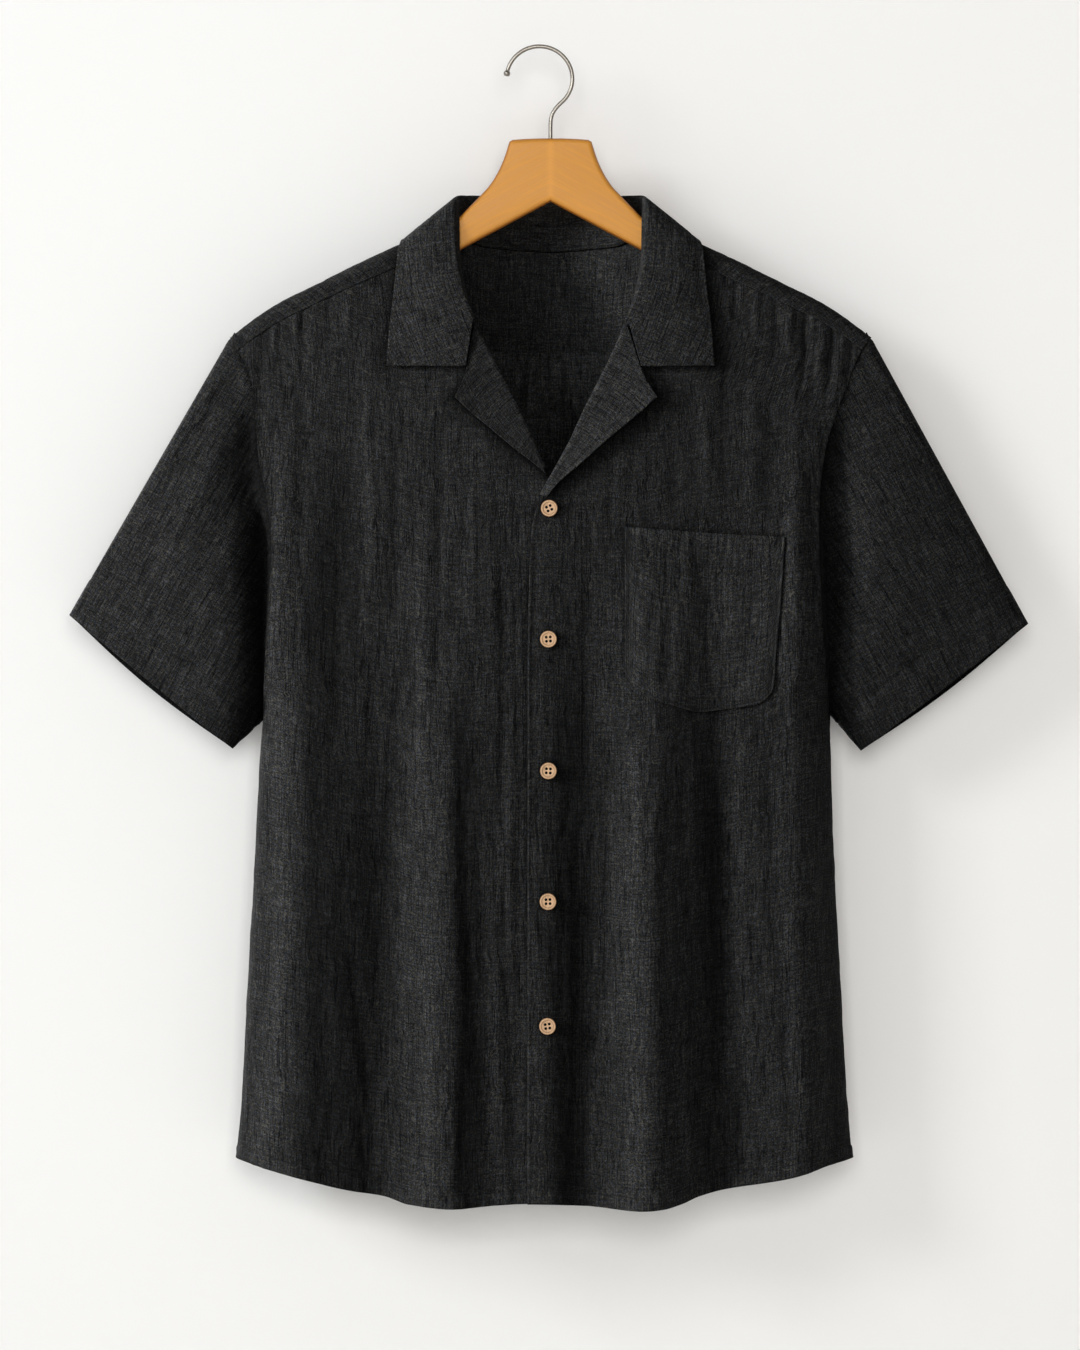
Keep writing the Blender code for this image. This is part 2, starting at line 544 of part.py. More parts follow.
def lapel_rows(side, edge_table, outline, low_z, tip_lift, behind):
    """A lapel from the foot of its roll up to the gorge, turned out over the front."""
    rows = []
    for j in range(LAPEL_ROWS + 1):
        up = j / LAPEL_ROWS
        z = lerp(low_z, LAPEL_TOP_Z, up)
        roll = Vector((read(edge_table, "z", "x", z), 0.0, z))
        above = z + ROLL_PROBE
        ahead = Vector((read(edge_table, "z", "x", above), 0.0, above)) - roll
        across = Vector((side * abs(ahead.z), 0.0, -abs(ahead.x))).normalized()
        place = up * (len(outline) - 1)
        keys = list(range(len(outline)))
        outer = Vector((
            curve_at(keys, [row.x for row in outline], place), 0.0,
            curve_at(keys, [row.z for row in outline], place),
        ))
        row = []
        for angle in ROLL_ANGLES:
            turn = math.radians(angle)
            flat = roll - across * LAPEL_ROLL * math.cos(turn)
            row.append(front_point(flat.x, flat.z, behind + LAPEL_ROLL * (1.0 + math.sin(turn))))
        for i in range(LAPEL_COLUMNS + 1):
            out = i / LAPEL_COLUMNS
            flat = roll.lerp(outer, out)
            bend = LAPEL_NOTCH_BEND * math.sin(math.pi * out ** 1.6) * up ** 4
            flat += Vector((-side * bend, 0.0, 0.0))
            lift = 2.0 * LAPEL_ROLL + behind + (tip_lift - 2.0 * LAPEL_ROLL) * out * out * up
            row.append(front_point(flat.x, flat.z, lift))
        rows.append(row)
    return rows


def add_lapels(collection, material):
    under = lapel_rows(
        -1, UNDER_FRONT_EDGE, UNDER_LAPEL_EDGE, UNDER_LAPEL_FOOT, UNDER_TIP_LIFT, UNDER_LAPEL_BEHIND
    )
    upper = lapel_rows(1, UPPER_FRONT_EDGE, UPPER_LAPEL_EDGE, UPPER_LAPEL_FOOT, UPPER_TIP_LIFT, 0.0)
    return [
        add_sheet("lapel_left", under, collection, material),
        add_sheet("lapel_right", upper, collection, material),
    ]


COLLAR_STEPS, LEAF_STEPS, ARC_STEPS = 2, 6, 4
BOW_RUN = 3.0              # stations over which the leaf's bow grows from the shoulder


def collar_station(place):
    keys = list(range(len(COLLAR)))
    columns = range(len(Station._fields))
    return Station(*(curve_at(keys, [row[c] for row in COLLAR], place) for c in columns))


def collar_section(side, place):
    """From the neck seam up the stand, over the fold and down the leaf."""
    station = collar_station(place)
    seam, fold, edge = (
        Vector((CENTRE_TOP + side * station[c], station[c + 1], station[c + 2])) for c in (0, 3, 6)
    )
    up = (fold - seam).normalized()
    fall = (edge - fold).normalized()
    out = (fall - up * fall.dot(up)).normalized()
    turn = up.angle(fall)
    points = [seam, seam.lerp(fold, 0.5)]
    for i in range(ARC_STEPS + 1):
        angle = turn * i / ARC_STEPS
        points.append(fold + LAPEL_ROLL * (out * (1.0 - math.cos(angle)) + up * math.sin(angle)))
    start = points[-1]
    notch_x = NOTCH_LEFT_X if side < 0 else NOTCH_RIGHT_X
    notch = Vector((CENTRE_TOP + side * notch_x, NOTCH_Y, NOTCH_Z))
    bend = (notch - start.lerp(edge, NOTCH_SHARE)) * max(0.0, 1.0 - place)
    rise = lerp(SHOULDER_BOW, BOW, min(1.0, abs(place - RIDGE_STATION) / BOW_RUN))
    for i in range(1, LEAF_STEPS + 1):
        share = i / LEAF_STEPS
        bent = share / NOTCH_SHARE if share < NOTCH_SHARE else (1.0 - share) / (1.0 - NOTCH_SHARE)
        bow = up * rise * math.sin(math.pi * share)
        points.append(start.lerp(edge, share) + bend * bent + bow)
    return points


def add_collar(collection, material):
    last = len(COLLAR) - 1
    places = [i / COLLAR_STEPS for i in range(last * COLLAR_STEPS + 1)]
    left = [collar_section(-1, place) for place in places]
    right = [collar_section(1, place) for place in places[-2::-1]]
    return add_sheet("collar", left + right, collection, material)


POCKET_COLUMNS, POCKET_ROWS = 8, 9
POCKET_LIFT = 2.75         # middle of the pocket's wall over the middle of the front's


def add_pocket(collection, material):
    rows = []
    for j in range(POCKET_ROWS + 1):
        row = []
        for i in range(POCKET_COLUMNS + 1):
            x, z = POCKET_LEFT[0].x, POCKET_LEFT[-1].z
            for _ in range(SETTLE):
                top, bottom = read(POCKET_TOP, "x", "z", x), read(POCKET_BOTTOM, "x", "z", x)
                z = lerp(bottom, top, j / POCKET_ROWS)
                left, right = read(POCKET_LEFT, "z", "x", z), read(POCKET_RIGHT, "z", "x", z)
                x = lerp(left, right, i / POCKET_COLUMNS)
            row.append(front_point(x, z, POCKET_LIFT))
        rows.append(row)
    return add_sheet("pocket", rows, collection, material)


def button_profile(name):
    """Half of a turned disc's section from the middle of its back round the rim to its hollow face."""
    shape = bmesh.new()
    spots = [shape.verts.new((row.x * MM, 0.0, row.z * MM)) for row in BUTTON_PROFILE]
    for start, end in zip(spots, spots[1:]):
        shape.edges.new((start, end))
    mesh = bpy.data.meshes.new(name)
    shape.to_mesh(mesh)
    shape.free()
    return mesh


def add_cylinder_cutter(name, radius, depth, sides, place, collection, material):
    shape = bmesh.new()
    bmesh.ops.create_cone(
        shape, cap_ends=True, segments=sides, radius1=radius * MM, radius2=radius * MM, depth=depth * MM
    )
    mesh = bpy.data.meshes.new(name)
    shape.to_mesh(mesh)
    shape.free()
    cutter = add_object(name, mesh, collection, material)
    cutter.location = Vector(place) * MM
    cutter.hide_render = True
    cutter.display_type = "WIRE"
    return cutter


def cut(obj, cutter):
    boolean = obj.modifiers.new(cutter.name, "BOOLEAN")
    boolean.operation = "DIFFERENCE"
    boolean.object = cutter


def cloth_depth_under(button):
    """Depth at which a button's tilted back bears on the bent cloth under it."""
    sides = [front_depth(button.x + side * BUTTON_RADIUS, button.z) for side in (-1, 1)]
    return max(front_depth(button.x, button.z), sum(sides) / 2)


def add_buttons(collection, cutters, material):
    for number, button in enumerate(BUTTONS, 1):
        name = f"button_{number}"
        obj = add_object(name, button_profile(name), collection, material)
        turned = obj.modifiers.new("turned", "SCREW")
        turned.steps = turned.render_steps = BUTTON_SIDES
        turned.use_merge_vertices = True
        turned.merge_threshold = 0.01 * MM
        middle = Vector((button.x, -cloth_depth_under(button), button.z))
        slope = (front_depth(button.x + BUTTON_RADIUS, button.z)
                 - front_depth(button.x - BUTTON_RADIUS, button.z)) / (2.0 * BUTTON_RADIUS)
        middle.y -= CLOTH / 2 + 2.0 * LAYER_GAP + BUTTON_THICK / 2
        placed = Matrix.Translation(middle * MM)
        placed @= Matrix.Rotation(math.radians(90.0), 4, "X") @ Matrix.Rotation(-math.atan(slope), 4, "Y")
        placed @= Matrix.Rotation(math.radians(button.turn), 4, "Z")
        obj.matrix_world = placed
        half = BUTTON_HOLE_PITCH / 2
        for hole, (x, y) in enumerate(((-half, -half), (half, -half), (half, half), (-half, half)), 1):
            cutter = add_cylinder_cutter(
                f"cut_button_{number}_{hole}", BUTTON_HOLE, 3 * BUTTON_THICK, HOLE_SIDES, (0, 0, 0),
                cutters, material,
            )
            cutter.matrix_world = placed @ Matrix.Translation(Vector((x, y, 0.0)) * MM)
            cut(obj, cutter)


def hanger_outline():
    """Half of the hanger's outline, from the middle of its top round the arm to its apex below."""
    rest = CLOTH / 2 + HANGER_REST
    half = [Vector((row.x, row.z)) for row in HANGER_SHOULDER]
    half += [Vector((x, ridge_z(CENTRE_TOP + x) - rest)) for x in HANGER_ARM]
    end_top = ridge_z(CENTRE_TOP + HANGER_END[0].x) - rest
    half += [Vector((row.x, end_top + row.z)) for row in HANGER_END]
    half += [Vector((x, HANGER_APEX_Z - HANGER_UNDER_SLOPE * x)) for x in HANGER_UNDER]
    half.append(Vector((0.0, HANGER_APEX_Z)))
    return half


def add_hanger(collection, cutters, material):
    half = hanger_outline()
    outline = half + [Vector((-p.x, p.y)) for p in reversed(half[:-1])]
    curve = bpy.data.curves.new("hanger_outline", "CURVE")
    curve.dimensions = "2D"
    curve.fill_mode = "BOTH"
    curve.extrude = (HANGER_THICK / 2 - HANGER_ROUND) * MM
    curve.bevel_depth = HANGER_ROUND * MM
    curve.bevel_resolution = ROUND_STEPS - 1
    curve.offset = -HANGER_ROUND * MM
    spline = curve.splines.new("POLY")
    spline.points.add(len(outline) - 1)
    for spot, point in zip(spline.points, outline):
        spot.co = (point.x * MM, point.y * MM, 0.0, 1.0)
    spline.use_cyclic_u = True
    drawn = bpy.data.objects.new("hanger_outline", curve)
    mesh = bpy.data.meshes.new_from_object(drawn)
    bpy.data.objects.remove(drawn)
    shape = bmesh.new()
    shape.from_mesh(mesh)
    bmesh.ops.remove_doubles(shape, verts=shape.verts, dist=0.01 * MM)
    bmesh.ops.rotate(shape, verts=shape.verts, matrix=Matrix.Rotation(math.radians(90.0), 3, "X"))
    bmesh.ops.translate(shape, verts=shape.verts, vec=(CENTRE_TOP * MM, 0.0, 0.0))
    bmesh.ops.recalc_face_normals(shape, faces=shape.faces)
    shape.to_mesh(mesh)
    shape.free()
    mesh.name = "hanger"
    obj = add_object("hanger", mesh, collection, material)
    place = (CENTRE_TOP, 0.0, HANGER_SHOULDER[0].z)
    bore = add_cylinder_cutter(
        "cut_hook_bore", HOOK_BORE / 2, 2 * HOOK_DEPTH, BORE_SIDES, place, cutters, material
    )
    cut(obj, bore)
    return obj


def hook_points():
    """The hook's wire from its ball end over the top and down into the hanger, with its thickness."""
    middle = Vector((HOOK_CENTRE[0], 0.0, HOOK_CENTRE[1]))
    route = []
    for i in range(HOOK_STEPS + 1):
        angle = math.radians(lerp(HOOK_START, HOOK_END, i / HOOK_STEPS))
        route.append(middle + HOOK_RADIUS * Vector((math.cos(angle), 0.0, math.sin(angle))))
    for row in HOOK_NECK:
        route.append(Vector((row.x, 0.0, row.z)))
    route.append(Vector((CENTRE_TOP, 0.0, HANGER_SHOULDER[0].z - HOOK_DEPTH + 1.0)))
    return route


def add_hook(collection, material):
    route = hook_points()
    back = (route[0] - route[1]).normalized()
    ball = []
    for i in range(BALL_STEPS + 1):
        angle = math.radians(lerp(BALL_FIRST, BALL_LAST, i / BALL_STEPS))
        ball.append((route[0] + back * HOOK_TIP * math.cos(angle), HOOK_TIP * math.sin(angle)))
    wire = [(point, HOOK_WIRE / 2) for point in route[1:]]
    curve = bpy.data.curves.new("hook", "CURVE")
    curve.dimensions = "3D"
    curve.bevel_depth = HOOK_WIRE / 2 * MM
    curve.bevel_resolution = 2
    curve.use_fill_caps = True
    spline = curve.splines.new("POLY")
    points = ball + wire
    spline.points.add(len(points) - 1)
    for spot, (point, radius) in zip(spline.points, points):
        spot.co = (*(point * MM), 1.0)
        spot.radius = radius / (HOOK_WIRE / 2)
    obj = bpy.data.objects.new("hook", curve)
    curve.materials.append(material)
    collection.objects.link(obj)
    return obj


def main():
    for old in list(bpy.data.objects):
        bpy.data.objects.remove(old, do_unlink=True)
    scene = bpy.context.scene
    parts = bpy.data.collections.new("camp_collar_shirt")
    cutters = bpy.data.collections.new("cutters")
    scene.collection.children.link(parts)
    scene.collection.children.link(cutters)
    cloth = make_material("charcoal_gauze", (0.028, 0.028, 0.027), 0.92)
    wood = make_material("honey_wood", (0.62, 0.32, 0.1), 0.45)
    pale_wood = make_material("pale_wood", (0.62, 0.45, 0.29), 0.5)
    steel = make_material("brushed_nickel", (0.6, 0.58, 0.55), 0.3, 1.0)
    add_fronts(parts, cloth)
    add_back(parts, cloth)
    add_yoke(parts, cloth)
    for name, sleeve in SLEEVES.items():
        add_sleeve(name, sleeve, parts, cloth)
    add_lapels(parts, cloth)
    add_collar(parts, cloth)
    add_pocket(parts, cloth)
    add_buttons(parts, cutters, pale_wood)
    add_hanger(parts, cutters, wood)
    add_hook(parts, steel)


main()
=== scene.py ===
"""Camp collar shirt on a wooden hanger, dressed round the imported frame.

Every cloth piece lies on the same form as its solid in the source, on a finer grid, with its
creases, gathers, hems and stitches. Tables are in millimetres. X runs to the right seen from the
front, Y to the back, Z up. Left and right are as seen from the front.
"""
import json
import math

import bmesh
import bpy
import numpy as np
from mathutils import Matrix, Vector
from mathutils.bvhtree import BVHTree

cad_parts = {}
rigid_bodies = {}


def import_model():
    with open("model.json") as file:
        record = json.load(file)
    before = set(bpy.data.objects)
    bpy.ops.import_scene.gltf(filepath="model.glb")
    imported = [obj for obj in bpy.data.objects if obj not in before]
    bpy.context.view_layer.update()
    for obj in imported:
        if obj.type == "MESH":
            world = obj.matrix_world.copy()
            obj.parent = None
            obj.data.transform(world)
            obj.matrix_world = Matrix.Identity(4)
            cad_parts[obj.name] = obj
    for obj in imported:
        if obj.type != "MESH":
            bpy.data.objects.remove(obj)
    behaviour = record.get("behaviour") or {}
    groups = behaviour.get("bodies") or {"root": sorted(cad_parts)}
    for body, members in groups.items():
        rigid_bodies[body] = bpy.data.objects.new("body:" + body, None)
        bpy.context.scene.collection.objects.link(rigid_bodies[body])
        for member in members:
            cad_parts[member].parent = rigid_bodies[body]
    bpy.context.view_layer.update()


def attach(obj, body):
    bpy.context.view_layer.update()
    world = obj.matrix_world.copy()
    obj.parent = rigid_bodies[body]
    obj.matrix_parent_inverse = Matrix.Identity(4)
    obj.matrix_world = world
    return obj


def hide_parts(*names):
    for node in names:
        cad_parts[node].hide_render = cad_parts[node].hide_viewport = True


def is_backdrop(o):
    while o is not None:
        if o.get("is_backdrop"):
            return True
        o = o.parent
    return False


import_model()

MM = 0.001

# ---------------------------------------------------------------- the form, as in the source, mm
WALL, COLLAR_WALL = 0.9, 1.2
CENTRE_TOP, CENTRE_HEM = 7.3, 2.5
CENTRE_TOP_Z, CENTRE_HEM_Z = -150.0, -850.0
RIDGE_RADIUS, HANG_HEIGHT, HANG_POWER, SIDE_POWER = 10.0, 300.0, 0.8, 3.0
UNDERARM_Z, ARMHOLE_FLARE, FLARE_HEIGHT = -510.0, 90.0, 110.0
NECK_BULGE, NECK_BULGE_WIDTH, NECK_BULGE_Z = 14.0, 55.0, -420.0
SETTLE = 12
YOKE_BACK_Z, YOKE_BACK_SIDE_Z, YOKE_BACK_LEVEL, YOKE_BACK_FALL = -233.0, -262.0, 60.0, 170.0
YOKE_FRONT_NECK_DROP, YOKE_FRONT_DROP, YOKE_FRONT_NECK_X, YOKE_FRONT_FADE = 18.5, 15.0, 69.0, 110.0
UNDER_FRONT_DROP, UNDER_FRONT_X, UNDER_FRONT_RUN = 3.2, -42.0, 30.0
LAPEL_ROLL, BOW, SHOULDER_BOW = 2.4, 2.5, 0.4

BODY_SIDES = (             # z, left, right: side seam up to the underarm, then the armhole seam
    (-851.6, -234.1, 239.1), (-800, -229.5, 234.8), (-707, -224.8, 229.5), (-615, -219.5, 224.8),
    (-538, -215.6, 222.5), (-510, -213.3, 221.8), (-461, -209.9, 217.2), (-423, -207.5, 214.4),
    (-385, -205.5, 212.8), (-346, -209.8, 213.6), (-312, -216.8, 217.6), (-280, -219.2, 226.5),
    (-258, -221.7, 235.5), (-242, -227.2, 241.1), (-231, -233, 246.6), (-221, -239.5, 254.1),
)
RIDGE = (                  # x from the centre line, z
    (0, -90), (68, -126), (100, -141.8), (116, -149.2), (130, -155.6), (150, -165), (186, -183),
    (205, -192.2), (225, -204.7), (247, -221.5), (262, -233.5),
)
DEPTHS = (                 # z, front, back
    (-880, 52, 42), (-700, 48, 38), (-510, 46, 36), (-350, 42, 37), (-150, 34, 34),
)
FRONT_HEM = (              # x, z
    (-234.1, -851.6), (-212, -857), (-178, -866), (-145, -873.5), (-119, -878), (-100, -883.5), (-66, -886),
    (-30, -883.5), (0, -883), (30, -884.5), (76, -887.3), (93, -886), (106, -882.7), (120, -877.4),
    (137, -873.3), (188, -864.5), (213, -857), (239.1, -851.6),
)
BACK_HEM = (
    (-234.1, -851.6), (-150, -870), (-60, -880), (60, -881), (150, -871), (239.1, -851.6),
)
UPPER_FRONT_EDGE = (       # z, x: front edge, roll line, neck seam
    (-890, -9.9), (-487, -9.9), (-423, -9.2), (-373, -7.2), (-357, -4.6), (-346, 0.6), (-328, 10.6),
    (-307, 22.1), (-281, 34.3), (-253, 48.1), (-227, 60.5), (-206, 68.2), (-186, 74.6), (-164, 78.2),
    (-143, 79.5),
)
UNDER_FRONT_EDGE = (
    (-890, 20), (-354, 20), (-339, 11), (-321, 0.8), (-302, -7.6), (-270, -22.5), (-240, -37.4), (-218, -49),
    (-206, -53.3), (-186, -59.8), (-164, -63.6), (-143, -64.9),
)
FRONT_FOLDS = (            # x_top, x_hem, width, depth outwards, start z, full z
    (-170, -180, 30, 8, -300, -680), (-112, -122, 26, -10, -330, -700), (-62, -66, 24, 8, -360, -720),
    (-28, -26, 17, -6, -420, -760), (44, 40, 18, -8, -340, -720), (84, 84, 24, 9, -330, -700),
    (133, 142, 26, -10, -240, -680), (190, 196, 24, 6, -250, -640),
)
BACK_FOLDS = (
    (2, 4, 13, 3.5, -150, -236), (-62, -88, 26, 8, -300, -760), (66, 82, 28, 9, -280, -740),
    (-128, -150, 24, -6, -320, -720), (120, 146, 24, -7, -340, -700), (0, 3, 40, -5, -260, -600),
)
NECKLINE = (               # x from the centre line, drop below the ridge
    (72.2, 18.5), (72.2, 0), (70.5, -9), (66, -19), (56, -29.2), (28, -47), (0, -63.5),
)
UNDER_LAPEL_EDGE = (
    (3.9, -327), (-6, -318.5), (-21.4, -306.6), (-39.2, -291.6), (-55.7, -277.6), (-66, -267.7),
)
UPPER_LAPEL_EDGE = (
    (4.6, -344.5), (12.2, -335), (29.7, -319.7), (52.6, -299.1), (70.9, -283.9), (88.8, -267.9),
)
LAPEL_TOP_Z, LAPEL_NOTCH_BEND = -212.5, 3.0
UNDER_LAPEL_FOOT, UPPER_LAPEL_FOOT = -323.0, -344.0
UNDER_TIP_LIFT, UPPER_TIP_LIFT, UNDER_LAPEL_BEHIND = 7.0, 9.0, -0.8
COLLAR = (                 # seam, fold and edge from the notch to the centre back
    (58, -17.2, -208.5, 57.6, -22, -208.5, 125.5, -22.5, -243.5),
    (64.4, -14.8, -189, 65, -21.5, -189.5, 123.3, -18.5, -214),
    (68.9, -12.5, -168, 70.2, -19, -169.5, 120.3, -15.5, -188),
    (70.2, -10.8, -150, 72, -16, -150, 118, -13.5, -166),
    (70.4, -9, -134, 73, -11.5, -130.5, 117, -11.5, -155),
    (70.6, -5.3, -129, 72.8, -6, -122, 115.4, -6.5, -149), (70.7, 0, -127.2, 71.8, 0, -118.9, 113.5, 0, -146),
    (70.4, 5.4, -128.4, 70.6, 6.5, -117, 112, 8, -148.1),
    (68.8, 11.8, -137, 67.3, 12.5, -115.4, 107, 13.2, -156), (52, 17.2, -148.7, 53, 18, -115, 82, 18.5, -171),
    (28, 23.4, -151, 28.5, 22.5, -116.5, 43, 28, -180), (0, 27.6, -152.7, 0, 25.5, -118.5, 0, 36, -183),
)
RIDGE_STATION, BOW_RUN, FOLD_RISE = 6, 3.0, 2.2
NOTCH_LEFT_X, NOTCH_RIGHT_X, NOTCH_Y, NOTCH_Z, NOTCH_SHARE = 64.9, 69.6, -24.0, -244.2, 0.34
POCKET_LEFT = ((-500.0, 66.0), (-478.0, 64.0), (-368.0, 63.9))
POCKET_RIGHT = ((-500.0, 176.5), (-452.0, 180.4), (-422.0, 183.0), (-375.0, 186.1))
POCKET_TOP = ((63.9, -367.8), (128.0, -372.4), (186.1, -375.4))
POCKET_BOTTOM = (
    (64, -478), (70, -491.9), (76, -496), (105.8, -505.2), (119.5, -508.5), (145.4, -506), (166, -502.3),
    (176, -493), (180, -470),
)
SLEEVES = {                # side, outer x and z, lower x and z, half depth, back drop
    "sleeve_left": (-1, -362.6, -434.7, -238.0, -536.6, 15.0, 5.0),
    "sleeve_right": (1, 374.5, -441.3, 246.9, -538.2, 14.0, 4.4),
}
SWELL, BACK_SWELL, BACK_VALLEY, SLEEVE_LENGTH = 7.0, 4.2, 4.0, 180.0
FRONT_VALLEYS = {-1: (22.0, 15.0), 1: (20.0, 20.0)}   # depth, and how far from the armhole it is deepest
VALLEY_SHARE, VALLEY_SPREAD, VALLEY_ALONG = 0.66, 0.3, 0.16
BUTTONS = (                # x, z, turn
    (6.2, -353.4, 24), (5.6, -453.2, 4), (5.6, -553.4, -3), (5.3, -652.8, 2), (4.9, -747.5, 8),
)
BUTTON_RADIUS, BUTTON_THICK, BUTTON_HOLE, BUTTON_PITCH = 7.0, 2.6, 1.1, 3.1
HANGER_SHOULDER = (
    (9, -67.5), (20, -67.9), (29, -68.6), (31.6, -70), (32.7, -73.5), (35.6, -82.5), (40, -92.6),
    (47, -103.8), (55.2, -112.8), (62.6, -120.4), (69.8, -127.9),
)
HANGER_STRAIGHT = 4        # rows of the shoulder before its curve
HANGER_ARM = (80.0, 185.0)
HANGER_END = ((199.0, -0.4), (204.0, -5.0), (205.0, -12.0), (199.0, -21.0))
HANGER_UNDER = (150.0, 69.6)
HANGER_THICK, HANGER_ROUND, HANGER_APEX_Z, HANGER_UNDER_SLOPE = 11.6, 4.0, -116.0, 0.537
HANGER_DROP = 1.7          # the arm's top below the form
HOOK_CENTRE, HOOK_WIDE, HOOK_HIGH, HOOK_LOW = (-1.2, -21.6), 25.4, 25.2, 24.2
HOOK_WIRE, HOOK_TIP = 3.2, 2.6
HOOK_START, HOOK_END, HOOK_DEPTH, HOOK_BORE = 170.0, -50.0, 22.0, 3.9
HOOK_NECK = ((12.9, -42.4), (10.4, -45.6), (8.4, -49.4), (7.45, -54.5), (7.3, -62.0))


# ---------------------------------------------------------------- creases, mm
LEFT_GATHERS = (           # from the yoke seam down: x1, z1, x2, z2, half width, height, bend
    (-222, -216, -221, -252, 3, 0.8, 1), (-213, -210, -214, -262, 3.2, -0.9, 1.5),
    (-204.5, -204, -206, -240, 2.6, 0.8, 0), (-188.5, -197, -190, -248, 3.4, 1.1, -1),
    (-182.5, -194, -184, -226, 2.4, -0.9, 0), (-172, -188, -176, -256, 3.6, 1, 2),
    (-163, -183, -163, -214, 2.8, -0.8, 0), (-148.5, -176, -151, -226, 3.4, 0.9, -1.5),
    (-134, -170, -136, -202, 3, -0.7, 0),
)
RIGHT_GATHERS = (
    (166, -180, 165, -222, 3.2, 1.1, 1), (179, -186, 178, -246, 3, -1, -1.5),
    (192, -192, 191, -238, 3.4, 1.6, 1), (202, -197, 200, -262, 3, -1.5, -2),
    (209.5, -201, 208, -236, 2.6, 1.4, 0), (217, -206, 214, -270, 3.4, 1.6, 1.5),
    (224.5, -210, 221, -248, 2.4, -1.5, 0), (232, -216, 226, -268, 3, 1.5, 1),
    (240, -222, 234, -262, 2.8, -1.1, 0), (150, -173, 149, -206, 2.8, -0.8, 0),
)
LEFT_CREASES = (
    (-196, -300, -199, -520, 6, 1.2, 2), (-184, -250, -188, -430, 4.5, -1, -2),
    (-150, -330, -153, -560, 6, -1.3, 3), (-133, -240, -131, -470, 5, 1.1, -2),
    (-110, -300, -113, -450, 4.5, -0.9, 1.5), (-91, -360, -94, -640, 6, 1.4, -3),
    (-75, -280, -78, -520, 4.5, -1, 2), (-51, -330, -53, -500, 4, 0.8, 1),
    (-30, -370, -31, -620, 4.5, -1.2, -1.5), (-22, -520, -20, -760, 4, 0.9, 1),
    (-206, -560, -212, -790, 6, -1.4, -3), (-190, -620, -200, -850, 5.5, 1.2, 2),
    (-160, -600, -152, -800, 5.5, 1.2, 3), (-145, -668, -128, -812, 6, -1.8, 2),
    (-105, -590, -101, -770, 5, 1, -2), (-62, -512, -40, -846, 6.5, -1.5, 4),
    (-84, -690, -80, -872, 5, 1.1, 2), (-38, -640, -33, -870, 5, 1.2, -2),
    (-120, -780, -124, -872, 5, 1.2, 1), (-58, -780, -62, -884, 5, -1.1, 0),
    (-176, -430, -172, -600, 5, -0.9, 2), (-120, -470, -124, -610, 4.5, 0.9, -2),
)
RIGHT_CREASES = (
    (36, -390, 34, -560, 4.5, -1, 1), (22, -600, 20, -800, 4, 0.8, -1), (52, -520, 50, -760, 5, -1.2, 2),
    (62, -300, 60, -360, 4, 0.8, 0), (101, -290, 103, -366, 4.5, -0.9, 1), (124, -250, 126, -366, 4.5, 1, -1),
    (142, -230, 141, -366, 5, -1.2, 1.5), (163, -240, 161, -366, 4.5, 1.1, 1),
    (176, -260, 172, -370, 4.5, -1, -1), (196, -270, 192, -520, 6, 1.4, 2),
    (205, -330, 203, -560, 5, -1.2, -2), (74, -520, 71, -700, 5, 1, -2), (95, -560, 96, -820, 5.5, -1.1, 3),
    (116, -520, 118, -690, 5, 1.2, 2), (129, -540, 134, -800, 6, -1.6, -3),
    (152, -520, 158, -760, 5.5, 1.3, 2), (174, -530, 181, -720, 5, -1, 2), (205, -600, 214, -830, 6, 1.3, -2),
    (186, -700, 194, -856, 5.5, -1.4, 2), (64, -740, 62, -880, 5, -1.1, 1),
    (108, -760, 111, -878, 5, 1.3, -1), (40, -780, 41, -882, 4.5, 1, 0), (150, -800, 156, -868, 5, -1.1, 0),
    (80, -820, 82, -884, 4.5, 0.9, 0),
)
BACK_CREASES = (
    (-176, -300, -186, -520, 6, 1.3, 2), (-150, -280, -158, -470, 5, -1.1, -2),
    (-104, -270, -112, -480, 6, 1.4, 3), (-84, -260, -92, -420, 4.5, -1, 1.5),
    (-44, -260, -50, -520, 5.5, 1.3, -2), (-26, -240, -34, -640, 5, -1.3, 3), (12, -236, 16, -700, 5, 1.4, 2),
    (-6, -236, -9, -600, 4, 1.6, -1), (30, -250, 38, -560, 5, -1.2, -2), (52, -260, 58, -470, 5, 1.1, 1.5),
    (92, -270, 102, -520, 5.5, -1.3, 2), (110, -280, 122, -440, 4.5, 1, -2),
    (148, -290, 158, -500, 6, 1.3, 2), (176, -310, 188, -540, 5.5, -1.2, -2),
    (-200, -560, -212, -820, 6, 1.4, -2), (-168, -560, -182, -800, 5.5, -1.3, 2),
    (-128, -540, -140, -850, 6, 1.5, 3), (-98, -560, -112, -860, 5.5, -1.2, -2),
    (-60, -600, -64, -872, 5.5, 1.2, 2), (-28, -660, -30, -876, 5, -1.2, 1), (2, -640, 5, -878, 5, 1.3, -2),
    (36, -620, 44, -876, 5.5, -1.2, 2), (70, -600, 80, -868, 5.5, 1.3, -2),
    (106, -560, 122, -860, 6, -1.5, 3), (144, -580, 160, -830, 5.5, 1.2, 2),
    (182, -600, 198, -850, 6, -1.3, -2), (208, -600, 218, -820, 5, 1.1, 1),
)
